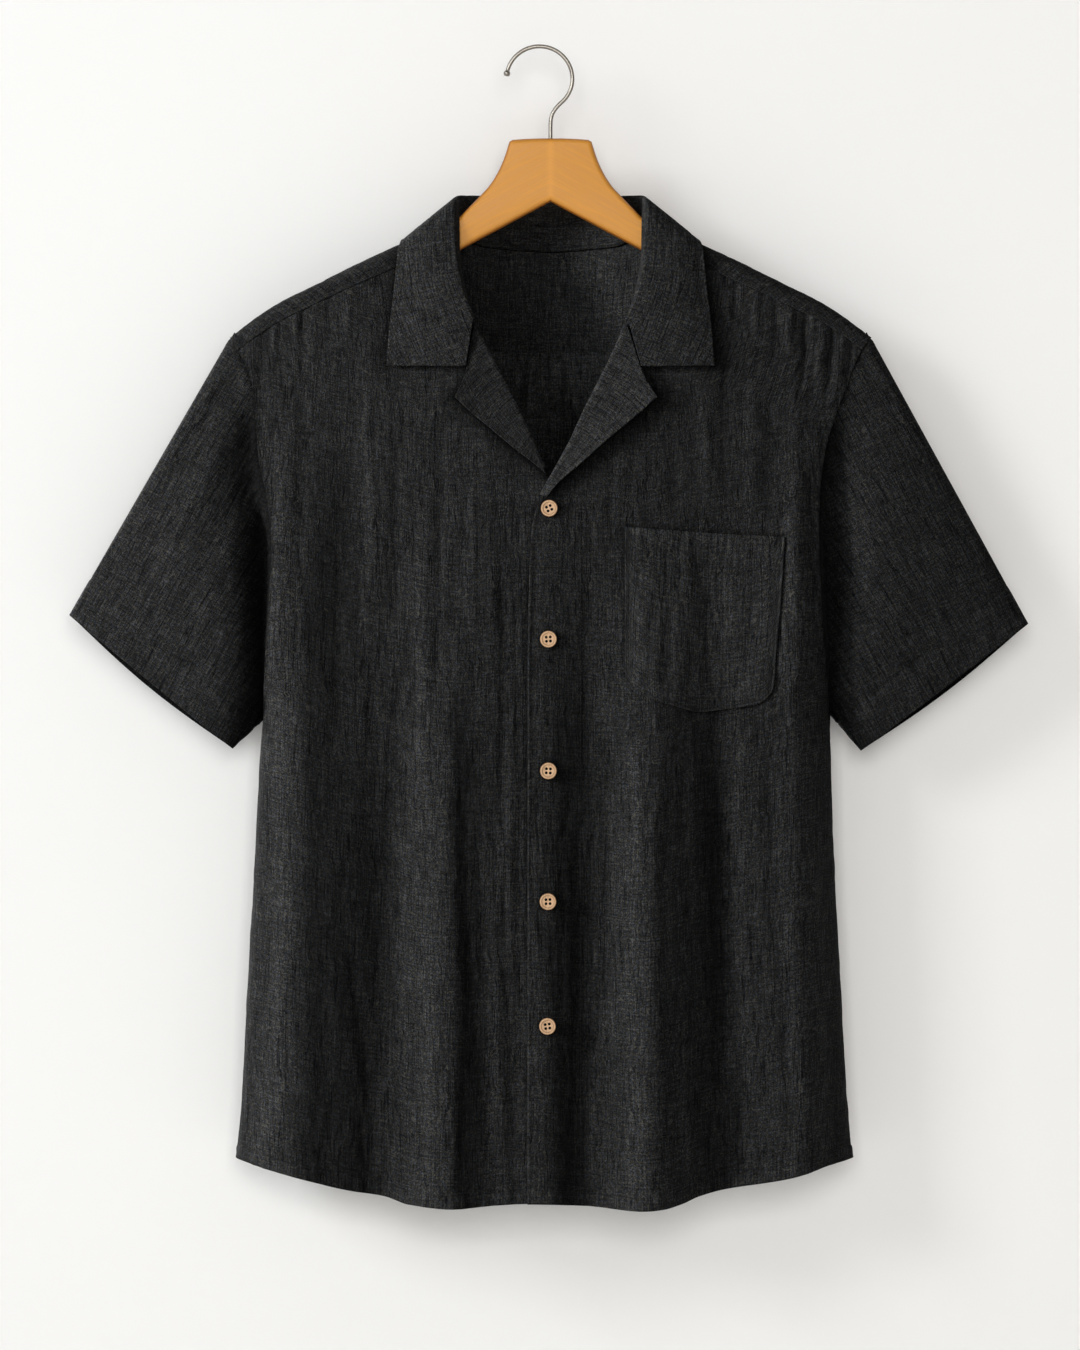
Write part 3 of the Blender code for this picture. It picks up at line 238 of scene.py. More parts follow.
BACK_GATHERS = (           # by the box pleat and across the yoke seam
    (-8, -232, -9, -300, 2.2, 1.6, 0), (13, -232, 14, -306, 2.2, 1.6, 0),
    (-14, -233, -15, -280, 2.6, -1.3, 0), (19, -233, 20, -276, 2.6, -1.3, 0),
    (-40, -233, -42, -262, 3, 0.7, 0), (46, -233, 49, -268, 3, 0.7, 0), (-74, -234, -77, -270, 3.4, 0.8, 1),
    (80, -235, 83, -266, 3.4, 0.8, -1), (-118, -243, -121, -276, 3.2, 0.7, 0),
    (126, -244, 130, -282, 3.2, 0.8, 0), (-172, -256, -176, -296, 3.4, 0.9, 1),
    (186, -258, 190, -300, 3.4, 0.9, -1), (-206, -260, -208, -300, 3, 0.9, 0),
    (214, -260, 214, -302, 3, 0.9, 0),
)
FRONT_CREASES = {-1: LEFT_CREASES + LEFT_GATHERS, 1: RIGHT_CREASES + RIGHT_GATHERS}

FOLD_CRESTS = (            # what the hung folds have over the solid's: the same form as FRONT_FOLDS
    (-194, -210, 12, 4.8, -230, -560), (-156, -164, 19, -6.5, -230, -540), (-118, -128, 16, -2.4, -360, -660),
    (-80, -82, 14, 1, -380, -660), (-55, -54, 11, -2.8, -380, -640), (-30, -27, 10, 3.2, -380, -700),
    (22, 26, 16, -3.8, -300, -700), (82, 80, 17, 2.6, -360, -660), (132, 136, 16, -1.2, -300, -640),
    (196, 202, 15, 7, -260, -540),
)

SLEEVE_CREASES = {         # v along the sleeve from the armhole, u from the top: u1, v1, u2, v2, ...
    "sleeve_left": (
        (30, 0, 34, 150, 8, 1.6, 3), (52, 0, 56, 170, 6, -1.2, -3), (74, 0, 82, 190, 8, 1.4, 3),
        (98, 0, 100, 150, 6, -1.4, 2), (118, 10, 122, 190, 7, 1.4, -3), (14, 10, 12, 120, 5, -0.8, 1),
        (140, 20, 146, 180, 6, -1.2, 2), (160, 30, 166, 170, 6, 1, 2), (40, 90, 46, 205, 5, 0.9, -2),
        (66, 90, 64, 205, 5, -0.9, 2), (108, 110, 112, 205, 5, 0.9, 0), (132, 100, 130, 200, 5, 0.8, 0),
        (178, 40, 184, 160, 6, -0.9, 0), (196, 20, 200, 150, 6, 0.9, 0),
    ),
    "sleeve_right": (
        (24, 0, 30, 140, 7, 0.9, 3), (48, 0, 54, 150, 6, -0.8, -3), (80, 0, 84, 170, 7, 1, 3),
        (104, 0, 104, 130, 6, -1, 2), (126, 10, 130, 170, 7, 1, -3), (150, 20, 154, 170, 6, -0.9, 2),
        (172, 30, 176, 160, 6, 0.8, 2), (196, 20, 200, 150, 6, -0.8, 0), (38, 80, 44, 190, 5, 0.7, -2),
        (66, 70, 70, 190, 5, -0.7, 2),
    ),
}

POCKET_CREASES = (
    (82, -372, 80, -470, 4.5, 1, 1), (96, -380, 95, -500, 4, -0.9, -1.5), (112, -372, 111, -460, 4.5, 1, 1),
    (128, -390, 130, -506, 5, -1.1, 2), (146, -374, 144, -490, 4.5, 1.2, 0),
    (162, -376, 160, -480, 4.5, -0.9, 1), (174, -392, 173, -470, 3.5, 0.8, 0),
    (72, -368, 74, -386, 2.6, 1.4, 0), (104, -430, 104, -502, 4, 0.8, 0), (88, -450, 87, -498, 4, 0.8, 0),
)

BUTTON_SECTION = (         # radius and height over the middle of the disc
    (0, -1.3), (4.6, -1.3), (5.5, -1.15), (6.15, -0.7), (6.4, -0.1), (6.3, 0.45), (5.9, 0.85), (5.4, 0.95),
    (5, 0.8), (4.7, 0.4), (4.3, 0), (3.8, -0.12), (0, -0.2),
)


# ---------------------------------------------------------------- grids, relief, stitches, studio
FRONT_COLUMNS, FRONT_ROWS, BACK_COLUMNS, BACK_ROWS, YOKE_TUCK = 172, 214, 258, 178, 3.0
YOKE_SHOULDER, YOKE_NECK, YOKE_BACK_STEPS, YOKE_TOP_STEPS = 84, 34, 40, 36
YOKE_BACK_WIDTH, YOKE_KNEE = 92.0, 16.0
YOKE_ARCS = np.linspace(-140.0, 140.0, 561)      # where the armhole's x is worked out over a shoulder
NECK_PLACES = (0.0, 0.3, 0.6, 1.0, 1.6, 2.2, 3.0, 3.8, 4.6, 5.3, 6.0)
SLEEVE_RING, SLEEVE_ROWS, SLEEVE_TUCK = 236, 104, 0.022
LAPEL_ROWS, LAPEL_COLUMNS, LAPEL_STEP, LAPEL_TURN = 74, 44, 4.0, (-60.0, 55.0, 12)
COLLAR_PLACES, STAND_STEPS, ARC_STEPS, LEAF_STEPS, HEADING_SPREAD = 241, 8, 10, 44, 12
POCKET_COLUMNS, POCKET_ROWS = 96, 104
SEAM_STITCH, LAPEL_STITCH, COLLAR_STITCH, POCKET_STITCH = 5.5, 5.6, 6.5, 2.6     # how far inside an edge
HEM_BAND, HEM_STEP, SLEEVE_HEM, POCKET_HEM = 10.0, 0.5, 33.0, 25.4
STITCH_PITCH, STITCH_LENGTH, STITCH_RADIUS = 3.0, 2.2, 0.22
THREAD_SPREAD, THREAD_HEIGHT, THREAD_RADIUS = 0.22, -0.7, 0.24
ARMHOLE_SINK = {-1: 0.0, 1: 1.2}       # the body's edge turns in over this depth beside the sleeve
SLEEVE_RELIEF = {-1: 1.2, 1: 0.6}
BUTTON_CALM, BUTTON_STAND = math.sqrt(110.0), 1.15       # flat cloth round a button, and its gap to the form
UV_UNIT, FRONT_REACH, CAST_FROM, BUTTON_SHADOW_RADIUS = 100.0, 3.0, 300.0, 6.6
UPRIGHT = Matrix.Rotation(math.radians(90.0), 4, "X")
CLOTH_GREYS = ((0.42, 0.0024), (0.52, 0.0072), (0.6, 0.0135), (0.7, 0.034))
CLOTH_TINTS = ((0.36, (0.88, 0.98, 1.18)), (0.5, (1.0, 1.0, 1.0)), (0.64, (1.12, 1.05, 0.84)))
FIBRE_COLOUR = (0.038, 0.036, 0.031)
HONEY_WOOD = (             # light and dark grain, edge (painted shade on the sides), fibres by axis
    (0.67, 0.283, 0.032), (0.635, 0.26, 0.029), (0.36, 0.118, 0.012), (26.0, 300.0, 640.0),
)
PALE_WOOD = ((0.66, 0.42, 0.24), (0.46, 0.27, 0.14), (0.27, 0.13, 0.055), (900.0, 900.0, 180.0))
STAGE_HALF, WALL_Y, WALL_TOP, FLOOR_Z, SHIRT_MIDDLE = 6.0, 0.062, 5.0, -1.35, (0.0, 0.0, -0.45)    # metres
CAMERA_DISTANCE, CAMERA_X, CAMERA_Z, FRAME_HEIGHT, SENSOR = 4000.0, -0.77, -480.48, 1039.5, 36.0


# ---------------------------------------------------------------- reading the tables
def smoothstep(t):
    t = np.clip(t, 0.0, 1.0)
    return t * t * (3.0 - 2.0 * t)


def lerp(a, b, t):
    return a + (b - a) * t


def bell(x, width):
    return np.exp(-((x / width) ** 2))


def unit(v):
    return v / np.maximum(np.linalg.norm(v, axis=-1, keepdims=True), 1e-12)


def curve_at(keys, values, key):
    """A curve through a table's values that never overshoots them."""
    keys, values, key = (np.asarray(a, float) for a in (keys, values, key))
    spans = np.diff(keys)
    slopes = np.diff(values) / spans
    before, after = slopes[:-1], slopes[1:]
    both = before + after
    inner = np.where(before * after > 0.0, 2.0 * before * after / np.where(both == 0.0, 1.0, both), 0.0)
    tangent = np.concatenate((slopes[:1], inner, slopes[-1:]))
    i = np.clip(np.searchsorted(keys, key, side="right") - 1, 0, len(spans) - 1)
    t = np.clip((key - keys[i]) / spans[i], 0.0, 1.0)
    near = values[i] * (1 + 2 * t) * (1 - t) ** 2 + values[i + 1] * t * t * (3 - 2 * t)
    return near + spans[i] * (tangent[i] * t * (1 - t) ** 2 - tangent[i + 1] * t * t * (1 - t))


def read(table, key, column=1):
    return curve_at([row[0] for row in table], [row[column] for row in table], key)


def by_place(table, place, column):
    """A column of a table by the number of the row, from 0."""
    return curve_at(np.arange(len(table)), [row[column] for row in table], place)


# ---------------------------------------------------------------- the form that the cloth lies on
def centre_x(z):
    share = np.clip((z - CENTRE_TOP_Z) / (CENTRE_HEM_Z - CENTRE_TOP_Z), 0.0, 1.0)
    return lerp(CENTRE_TOP, CENTRE_HEM, share)


def side_x(z, side):
    return read(BODY_SIDES, z, 1 if side < 0 else 2)


def ridge_z(x):
    return read(RIDGE, np.abs(x - CENTRE_TOP))


def side_factor(x, z):
    from_centre = x - centre_x(z)
    edge = np.where(from_centre < 0.0, side_x(z, -1), side_x(z, 1))
    half = np.abs(edge - centre_x(z)) + ARMHOLE_FLARE * smoothstep((z - UNDERARM_Z) / FLARE_HEIGHT)
    return np.sqrt(1.0 - np.minimum(1.0, np.abs(from_centre) / half) ** SIDE_POWER)


def fold_depth(folds, x, z):
    total = 0.0
    for x_top, x_hem, width, depth, start, full in folds:
        run = np.clip((start - z) / (start - CENTRE_HEM_Z), 0.0, 1.0)
        grown = smoothstep((start - z) / (start - full))
        total = total + depth * grown * bell(x - lerp(x_top, x_hem, run), width)
    return total


def hang_depth(x, z, full):
    drop = np.maximum(0.0, ridge_z(x) - z)
    arch = np.sqrt(np.maximum(0.0, RIDGE_RADIUS ** 2 - np.maximum(0.0, RIDGE_RADIUS - drop) ** 2))
    return np.hypot(arch, full * np.minimum(1.0, drop / HANG_HEIGHT) ** HANG_POWER)


def front_depth(x, z):
    hung = hang_depth(x, z, read(DEPTHS, z, 1))
    return (hung + fold_depth(FRONT_FOLDS, x, z)) * side_factor(x, z)


def back_depth(x, z):
    hung = hang_depth(x, z, read(DEPTHS, z, 2))
    drop = smoothstep((ridge_z(x) - z) / (2.0 * RIDGE_RADIUS))
    bulge = NECK_BULGE * bell(x - CENTRE_TOP, NECK_BULGE_WIDTH) * drop
    bulge = bulge * smoothstep((z - NECK_BULGE_Z) / (YOKE_BACK_Z - NECK_BULGE_Z))
    return (hung + bulge + fold_depth(BACK_FOLDS, x, z)) * side_factor(x, z)


def drop_of(arc):
    quarter = RIDGE_RADIUS * math.pi / 2
    bent = RIDGE_RADIUS * (1.0 - np.cos(np.minimum(arc, quarter) / RIDGE_RADIUS))
    return np.where(arc < quarter, bent, RIDGE_RADIUS + arc - quarter)


def arc_of(drop):
    bent = RIDGE_RADIUS * np.arccos(np.clip(1.0 - drop / RIDGE_RADIUS, -1.0, 1.0))
    return np.where(drop < RIDGE_RADIUS, bent, drop - RIDGE_RADIUS + RIDGE_RADIUS * math.pi / 2)


def over_point(x, arc):
    """The form at x, arc mm from the ridge: positive to the front, negative to the back."""
    x, arc = np.broadcast_arrays(np.asarray(x, float), np.asarray(arc, float))
    z = ridge_z(x) - drop_of(np.abs(arc))
    return np.stack((x, np.where(arc > 0.0, -front_depth(x, z), back_depth(x, z)), z), -1)


def armhole_point(side, arc):
    x = np.full(arc.shape, side_x(BODY_SIDES[-1][0], side))
    for _ in range(SETTLE):
        x = side_x(ridge_z(x) - drop_of(np.abs(arc)), side)
    return over_point(x, arc)


def yoke_front_z(x):
    share = np.clip((np.abs(x - CENTRE_TOP) - YOKE_FRONT_NECK_X) / YOKE_FRONT_FADE, 0.0, 1.0)
    return ridge_z(x) - lerp(YOKE_FRONT_NECK_DROP, YOKE_FRONT_DROP, share)


def yoke_back_z(x):
    fall = smoothstep((np.abs(x - CENTRE_TOP) - YOKE_BACK_LEVEL) / YOKE_BACK_FALL)
    return lerp(YOKE_BACK_Z, YOKE_BACK_SIDE_Z, fall)


# ---------------------------------------------------------------- relief: crinkle, creases, hems
def noise(u, v, seed):
    """Smooth seeded noise from -1 to 1 over cells of size 1."""
    cells = np.random.default_rng(seed).random((128, 128)) * 2.0 - 1.0
    iu, iv = np.floor(u).astype(int), np.floor(v).astype(int)
    fu, fv = u - iu, v - iv
    fu, fv = fu * fu * (3 - 2 * fu), fv * fv * (3 - 2 * fv)
    a, b = cells[iv % 128, iu % 128], cells[iv % 128, (iu + 1) % 128]
    c, d = cells[(iv + 1) % 128, iu % 128], cells[(iv + 1) % 128, (iu + 1) % 128]
    return lerp(lerp(a, b, fu), lerp(c, d, fu), fv)


def crinkle(u, v, seed):
    """Irregular gauze wrinkles that run along v, in mm of height."""
    drift = 2.2 * noise(u / 17.0, v / 34.0, seed)
    fine = noise((u + drift) / 2.9, v / 17.0, seed + 1)
    wide = noise((u + drift) / 5.4, v / 34.0, seed + 2)
    ridged = 1.0 - 2.0 * np.abs(noise((u + 1.5 * drift) / 6.5, v / 40.0, seed + 3))
    cross = noise(u / 9.0, v / 6.0, seed + 4)
    patch = 0.75 + 0.45 * noise(u / 45.0, v / 70.0, seed + 5)
    pressed = -bell(noise((u + 1.2 * drift) / 7.5, v / 46.0, seed + 6), 0.11)
    return (0.36 * fine + 0.2 * wide + 0.2 * ridged + 0.22 * cross + 0.55 * pressed) * patch


def creases(table, u, v):
    """Soft strokes: u1, v1, u2, v2, half width, height, sideways bend."""
    total = np.zeros(np.shape(u))
    for u1, v1, u2, v2, width, height, bend in table:
        length = math.hypot(u2 - u1, v2 - v1)
        du, dv = (u2 - u1) / length, (v2 - v1) / length
        along = ((u - u1) * du + (v - v1) * dv) / length
        across = (u - u1) * dv - (v - v1) * du
        across = across - bend * np.sin(math.pi * np.clip(along, 0.0, 1.0))
        ends = smoothstep((along + 0.12) / 0.35) * smoothstep((1.12 - along) / 0.45)
        total += height * ends * bell(across, width)
    return total


def seam(away, inset, edge=0.35, groove=0.25, widths=(1.4, 1.2)):
    """A turned edge: fuller at the edge, pulled in along the stitches inset from it."""
    return edge * bell(away, widths[0]) - groove * bell(away - inset, widths[1])


# ---------------------------------------------------------------- building meshes
def crowd(count, *spots):
    """Places from 0 to 1, closer together near each spot (place, gain, width)."""
    fine = np.linspace(0.0, 1.0, 4001)
    density = sum((gain * np.exp(-np.abs(fine - place) / width) for place, gain, width in spots), start=1.0)
    total = np.concatenate(([0.0], np.cumsum((density[1:] + density[:-1]) / 2)))
    return np.interp(np.linspace(0.0, total[-1], count), total, fine)


def grid_normals(points, ring=False):
    across = np.roll(points, -1, 1) - np.roll(points, 1, 1) if ring else np.gradient(points, axis=1)
    return unit(np.cross(across, np.gradient(points, axis=0)))


def outward_sign(points, normals):
    """1 where a ring's normals point away from its middle, -1 where they point in."""
    return np.sign(np.mean(np.sum(normals * (points - points.mean(1, keepdims=True)), -1)))


def travelled(points, axis=0):
    """Distance from the start of each column (axis 0) or row (axis 1) of a grid."""
    steps = np.linalg.norm(np.diff(points, axis=axis), axis=-1)
    return np.insert(np.cumsum(steps, axis), 0, 0.0, axis)


def flat_coordinates(points, level=None):
    """Distance along each row and column in mm, from x = level or the middle column."""
    u = travelled(points, 1)
    start = u.shape[1] // 2 if level is None else np.argmin(np.abs(points[..., 0] - level), 1)
    return u - u[np.arange(len(points)), start][:, None], travelled(points)


def new_object(name, data):
    obj = bpy.data.objects.new(name, data)
    bpy.context.scene.collection.objects.link(obj)
    return obj


def add_mesh(name, verts, faces, material, uv=None, tone=None):
    mesh = bpy.data.meshes.new(name)
    mesh.from_pydata([tuple(p) for p in verts * MM], [], [tuple(f) for f in faces])
    mesh.shade_smooth()
    if uv is not None:
        corners = np.empty(len(mesh.loops), int)
        mesh.loops.foreach_get("vertex_index", corners)
        mesh.uv_layers.new(name="flat").data.foreach_set("uv", (uv[corners] / UV_UNIT).ravel())
        # the relief heights for painted shade and highlight, and a painted shade of 1 that darken() lowers
        for key, values in (("tone", tone.ravel()), ("shade", np.ones(tone.size))):
            mesh.attributes.new(key, "FLOAT", "POINT").data.foreach_set("value", values.astype(np.float32))
    mesh.materials.append(material)
    obj = new_object(name, mesh)
    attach(obj, "root")
    return obj


PIECES = {}                # name: object, lifted grid of points, normals


def add_cloth(name, points, material, relief, uv, wall=WALL, ring=False, toward=None, tone=None, inside=None):
    """A thin wall through a grid of points in mm, lifted along its normals by the relief."""
    normals = grid_normals(points, ring)
    turned = ring and outward_sign(points, normals) < 0.0
    if toward is not None and np.mean(normals @ np.asarray(toward, float)) < 0.0:
        normals, turned = -normals, True
    points = points + normals * relief[..., None]
    rows, columns = points.shape[:2]
    index = np.arange(rows * columns).reshape(rows, columns)
    right = np.roll(index, -1, 1) if ring else index[:, 1:]
    left = index if ring else index[:, :-1]
    faces = np.stack((left[:-1], right[:-1], right[1:], left[1:]), -1).reshape(-1, 4)
    faces = faces[:, ::-1] if turned else faces
    # the relief, or the given values, go to the material as painted shade and highlight
    obj = add_mesh(f"{name}_cloth", points.reshape(-1, 3), faces, material, np.stack(uv, -1).reshape(-1, 2),
                   relief if tone is None else tone)
    solid = obj.modifiers.new("wall", "SOLIDIFY")
    solid.thickness, solid.offset = wall * MM, 0.0
    if inside is not None:
        obj.data.materials.append(inside)
        solid.material_offset = 1
    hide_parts(name)
    PIECES[name] = (obj, points, normals)


def darken(name, strokes, gain=1.0, only_in_front=False):
    """Painted shade beside edges: (line of points, share at the line, width in mm) on one piece."""
    obj, points, _ = PIECES[name]
    flat = points.reshape(-1, 3)[:, ::2]
    shade = np.full(len(flat), gain)
    reached = points[..., 1].ravel() < FRONT_REACH if only_in_front else np.ones(len(flat), bool)
    for line, share, width in strokes:
        line = line[..., ::2]
        low, high = line.min(0) - 3.0 * width, line.max(0) + 3.0 * width
        near = np.nonzero(np.all((flat > low) & (flat < high), 1) & reached)[0]
        for part in np.array_split(near, max(1, len(near) // 4000)):
            gap = np.sqrt(((flat[part, None] - line[None]) ** 2).sum(-1).min(1))
            shade[part] *= 1.0 - share * bell(gap, width)
    obj.data.attributes["shade"].data.foreach_set("value", shade.astype(np.float32))


# ---------------------------------------------------------------- fronts and back
def under_collar(x, z):
    """0 where the collar and lapels cover the front, so nothing lifts it into them."""
    aside = np.abs(x - CENTRE_TOP)
    rolled = smoothstep((aside - 0.75 * (z + 350.0) - 10.0) / 25.0)
    return np.maximum(smoothstep((aside - 112.0) / 10.0), smoothstep((-262.0 - z) / 16.0) * rolled)


def front_relief(x, z, side):
    return creases(FRONT_CREASES[side], x, z) + crinkle(x, z, 20 if side < 0 else 40)


def crests(x, z):
    return fold_depth(FOLD_CRESTS, x, z) * side_factor(x, z)


def hung_relief(points, relief, crest, hem, yoke_z, end, seed):
    """Relief faded at a turned, puckered hem and under the yoke, with the armhole seam's ridge."""
    x, z = points[..., 0], points[..., 2]
    above = z - read(hem, x)
    band = HEM_STEP * smoothstep((HEM_BAND + 1.0 - above) / 2.0) - 0.5 * bell(above - HEM_BAND, 1.3)
    pucker = 0.75 * noise(x / 4.2, above / 9.0, seed) * bell(above - HEM_BAND * 0.6, 7.0)
    relief = relief * smoothstep((above + 4.0) / 24.0) + crest + band + pucker + 0.2 * bell(above, 1.6)
    tuck = smoothstep((z - yoke_z + 1.5) / 3.0)
    ridge = 0.3 * bell(x - end, 2.0) * (z > UNDERARM_Z) * (1.0 - tuck)
    return relief * (1.0 - 0.8 * tuck) - 0.9 * tuck + ridge


def front_grid(side, edge_table, drop):
    """Rows of a front from hem to yoke seam; the last 3 mm run up under the yoke."""
    up = crowd(FRONT_ROWS, (0.0, 1.2, 0.03), (1.0, 1.4, 0.06))[:, None]
    out = crowd(FRONT_COLUMNS, (0.0, 1.0, 0.02), (1.0, 6.0, 0.015))[None, :]
    x = np.full((FRONT_ROWS, FRONT_COLUMNS), side_x(UNDERARM_Z, side) / 2)
    for _ in range(SETTLE):
        z = lerp(read(FRONT_HEM, x), yoke_front_z(x) + YOKE_TUCK, up)
        x = lerp(read(edge_table, z), side_x(z, side), out)
    return np.stack((x, -front_depth(x, z) + drop * smoothstep((x - UNDER_FRONT_X) / UNDER_FRONT_RUN), z), -1)


def armhole_sink(side, z):
    return ARMHOLE_SINK[side] * smoothstep((-262.0 - z) / 60.0) * smoothstep((z - UNDERARM_Z + 30.0) / 40.0)


def add_front(name, side, edge_table, drop, material):
    points = front_grid(side, edge_table, drop)
    x, z = points[..., 0], points[..., 2]
    relief = front_relief(x, z, side) * lerp(0.15, 1.0, under_collar(x, z))
    for place_x, place_z, _ in BUTTONS:
        relief *= 1.0 - 0.85 * bell(np.hypot(x - place_x, z - place_z), BUTTON_CALM)
    relief = hung_relief(points, relief, crests(x, z), FRONT_HEM, yoke_front_z(x), side_x(z, side), 61 + side)
    if side > 0:
        relief += smoothstep((-352.0 - z) / 8.0) * 0.8 * bell(np.abs(x - read(edge_table, z)) - 0.8, 1.3)
    else:
        under = read(UPPER_FRONT_EDGE, z) - x
        relief -= 0.8 * bell(under - 0.8, 1.4) * smoothstep((-346.0 - z) / 10.0)
    relief -= armhole_sink(side, z) * (1.0 - smoothstep(np.abs(x - side_x(z, side)) / 16.0))
    add_cloth(name, points, material, relief, flat_coordinates(points, 60.0 * side), toward=(0, -1, 0))


def add_back(material, inside_cloth):
    up = crowd(BACK_ROWS, (0.0, 1.2, 0.03), (1.0, 1.2, 0.05))[:, None]
    share = 2.0 * crowd(BACK_COLUMNS, (0.0, 5.0, 0.01), (0.5, 0.6, 0.03), (1.0, 5.0, 0.01))[None, :] - 1.0
    end = np.where(share < 0.0, side_x(UNDERARM_Z, -1), side_x(UNDERARM_Z, 1))
    x = end * np.abs(share)
    for _ in range(SETTLE):
        z = lerp(read(BACK_HEM, x), yoke_back_z(x) + YOKE_TUCK, up)
        end = np.where(share < 0.0, side_x(z, -1), side_x(z, 1))
        x = lerp(centre_x(z), end, np.abs(share))
    points = np.stack((x, back_depth(x, z), z), -1)
    relief = creases(BACK_CREASES + BACK_GATHERS, x, z) + crinkle(x, z, 80)
    relief = hung_relief(points, relief, 0.0, BACK_HEM, yoke_back_z(x), end, 66)
    add_cloth("back", points, material, relief, flat_coordinates(points, CENTRE_HEM), toward=(0, 1, 0),
              inside=inside_cloth)


# ---------------------------------------------------------------- yoke
def neckline_point(side, place):
    x, drop = (float(by_place(NECKLINE, place, c)) for c in (0, 1))
    return CENTRE_TOP + side * x, math.copysign(float(arc_of(abs(drop))), drop)


def yoke_seam_arc(x, front):
    arc = float(arc_of(ridge_z(x) - (yoke_front_z(x) if front else yoke_back_z(x))))
    return arc if front else -arc


def yoke_column(back_x, top, end_share=0.0, armhole=None):
    """A column of points from the back seam up over the shoulder, ending on the neck or front seam."""
    first, last = yoke_seam_arc(back_x, False), top[1]
    line = (first, last - first)
    knee = min(last, 0.0) - YOKE_KNEE

    def x_at(arc):
        inner = lerp(back_x, top[0], (arc - line[0]) / line[1])
        return inner if armhole is None else lerp(inner, np.interp(arc, YOKE_ARCS, armhole), end_share)

    if armhole is not None:
        for _ in range(SETTLE):
            first, last = yoke_seam_arc(x_at(first), False), yoke_seam_arc(x_at(last), True)
    arcs = np.concatenate((
        np.linspace(first, knee, YOKE_BACK_STEPS, endpoint=False), np.linspace(knee, last, YOKE_TOP_STEPS)
    ))
    return over_point(x_at(arcs), arcs)


def yoke_half(side):
    back_end = CENTRE_TOP + side * YOKE_BACK_WIDTH
    armhole = armhole_point(side, YOKE_ARCS)[..., 0]
    corner = neckline_point(side, 0.0)
    columns = []
    for share in crowd(YOKE_SHOULDER, (0.0, 2.0, 0.03), (1.0, 0.8, 0.03)):
        columns.append(yoke_column(back_end, corner, 1.0 - share, armhole if share < 1.0 else None))
    for number in range(1, YOKE_NECK + 1):
        share = number / YOKE_NECK
        place = float(np.interp(share * (len(NECK_PLACES) - 1), range(len(NECK_PLACES)), NECK_PLACES))
        top = neckline_point(side, place)
        if number == YOKE_NECK:
            top = (CENTRE_TOP, top[1])
        columns.append(yoke_column(lerp(back_end, CENTRE_TOP, share), top))
    return columns


def add_yoke(material, inside_cloth):
    points = np.stack(yoke_half(-1) + yoke_half(1)[-2::-1], 1)
    u, v = flat_coordinates(points, CENTRE_TOP)
    aside = np.abs(points[..., 0] - CENTRE_TOP)
    from_front = v[-1:] - v
    rows = np.linspace(0.0, 1.0, len(points))[:, None]
    relief = 0.55 * crinkle(u, v * 1.4, 120) + seam(v, SEAM_STITCH, widths=(1.8, 1.4))
    relief += (aside > 76.0) * seam(from_front, SEAM_STITCH, widths=(1.8, 1.4))
    relief += 0.25 * noise(u / 4.5, rows * 6.0, 124) * bell(np.minimum(from_front, v), 8.0)
    relief *= lerp(0.3, 1.0, smoothstep((aside - 100.0) / 25.0))
    add_cloth("yoke", points, material, relief, (u, v), toward=(0, 0.5, 1), inside=inside_cloth)


# ---------------------------------------------------------------- sleeves
def sleeve_points(sleeve, ring, along):
    """Points of a sleeve; ring runs 0 to 1 down the front and 1 to 2 up the back."""
    side, outer_x, outer_z, lower_x, lower_z, half_depth, back_drop = sleeve
    ring, along = np.broadcast_arrays(ring, along)
    front = ring <= 1.0
    share = np.where(front, ring, 2.0 - ring)
    arc = float(arc_of(ridge_z(side_x(UNDERARM_Z, 1)) - UNDERARM_Z)) * share
    start = armhole_point(side, np.where(front, arc, -arc))
    start[..., 1] += np.where(front, armhole_sink(side, start[..., 2]), 0.0)
    depth = np.where(front, -1.0, 1.0) * half_depth * np.sqrt(np.maximum(0.0, 4.0 * share * (1.0 - share)))
    hem = np.stack((lerp(outer_x, lower_x, share), depth, lerp(outer_z, lower_z, share)), -1)
    middle = np.sin(math.pi * share)
    down = unit(np.array((lower_z - outer_z, outer_x - lower_x)))
    down = down * math.copysign(1.0, -down[1])
    hem[..., ::2] += down * np.where(front, 0.0, back_drop * middle)[..., None]
    point = start + (hem - start) * along[..., None]
    swell = middle * np.sin(math.pi * np.clip(along, 0.0, 1.0))

    def valley(run):
        return bell(share - VALLEY_SHARE, VALLEY_SPREAD) * run * np.exp(1.0 - run)

    run = np.maximum(0.0, along)
    deep, reach = FRONT_VALLEYS[side]
    ahead = deep * valley(run * SLEEVE_LENGTH / reach) - SWELL * swell
    point[..., 1] += np.where(front, ahead, BACK_SWELL * swell - BACK_VALLEY * valley(run / VALLEY_ALONG))
    return point


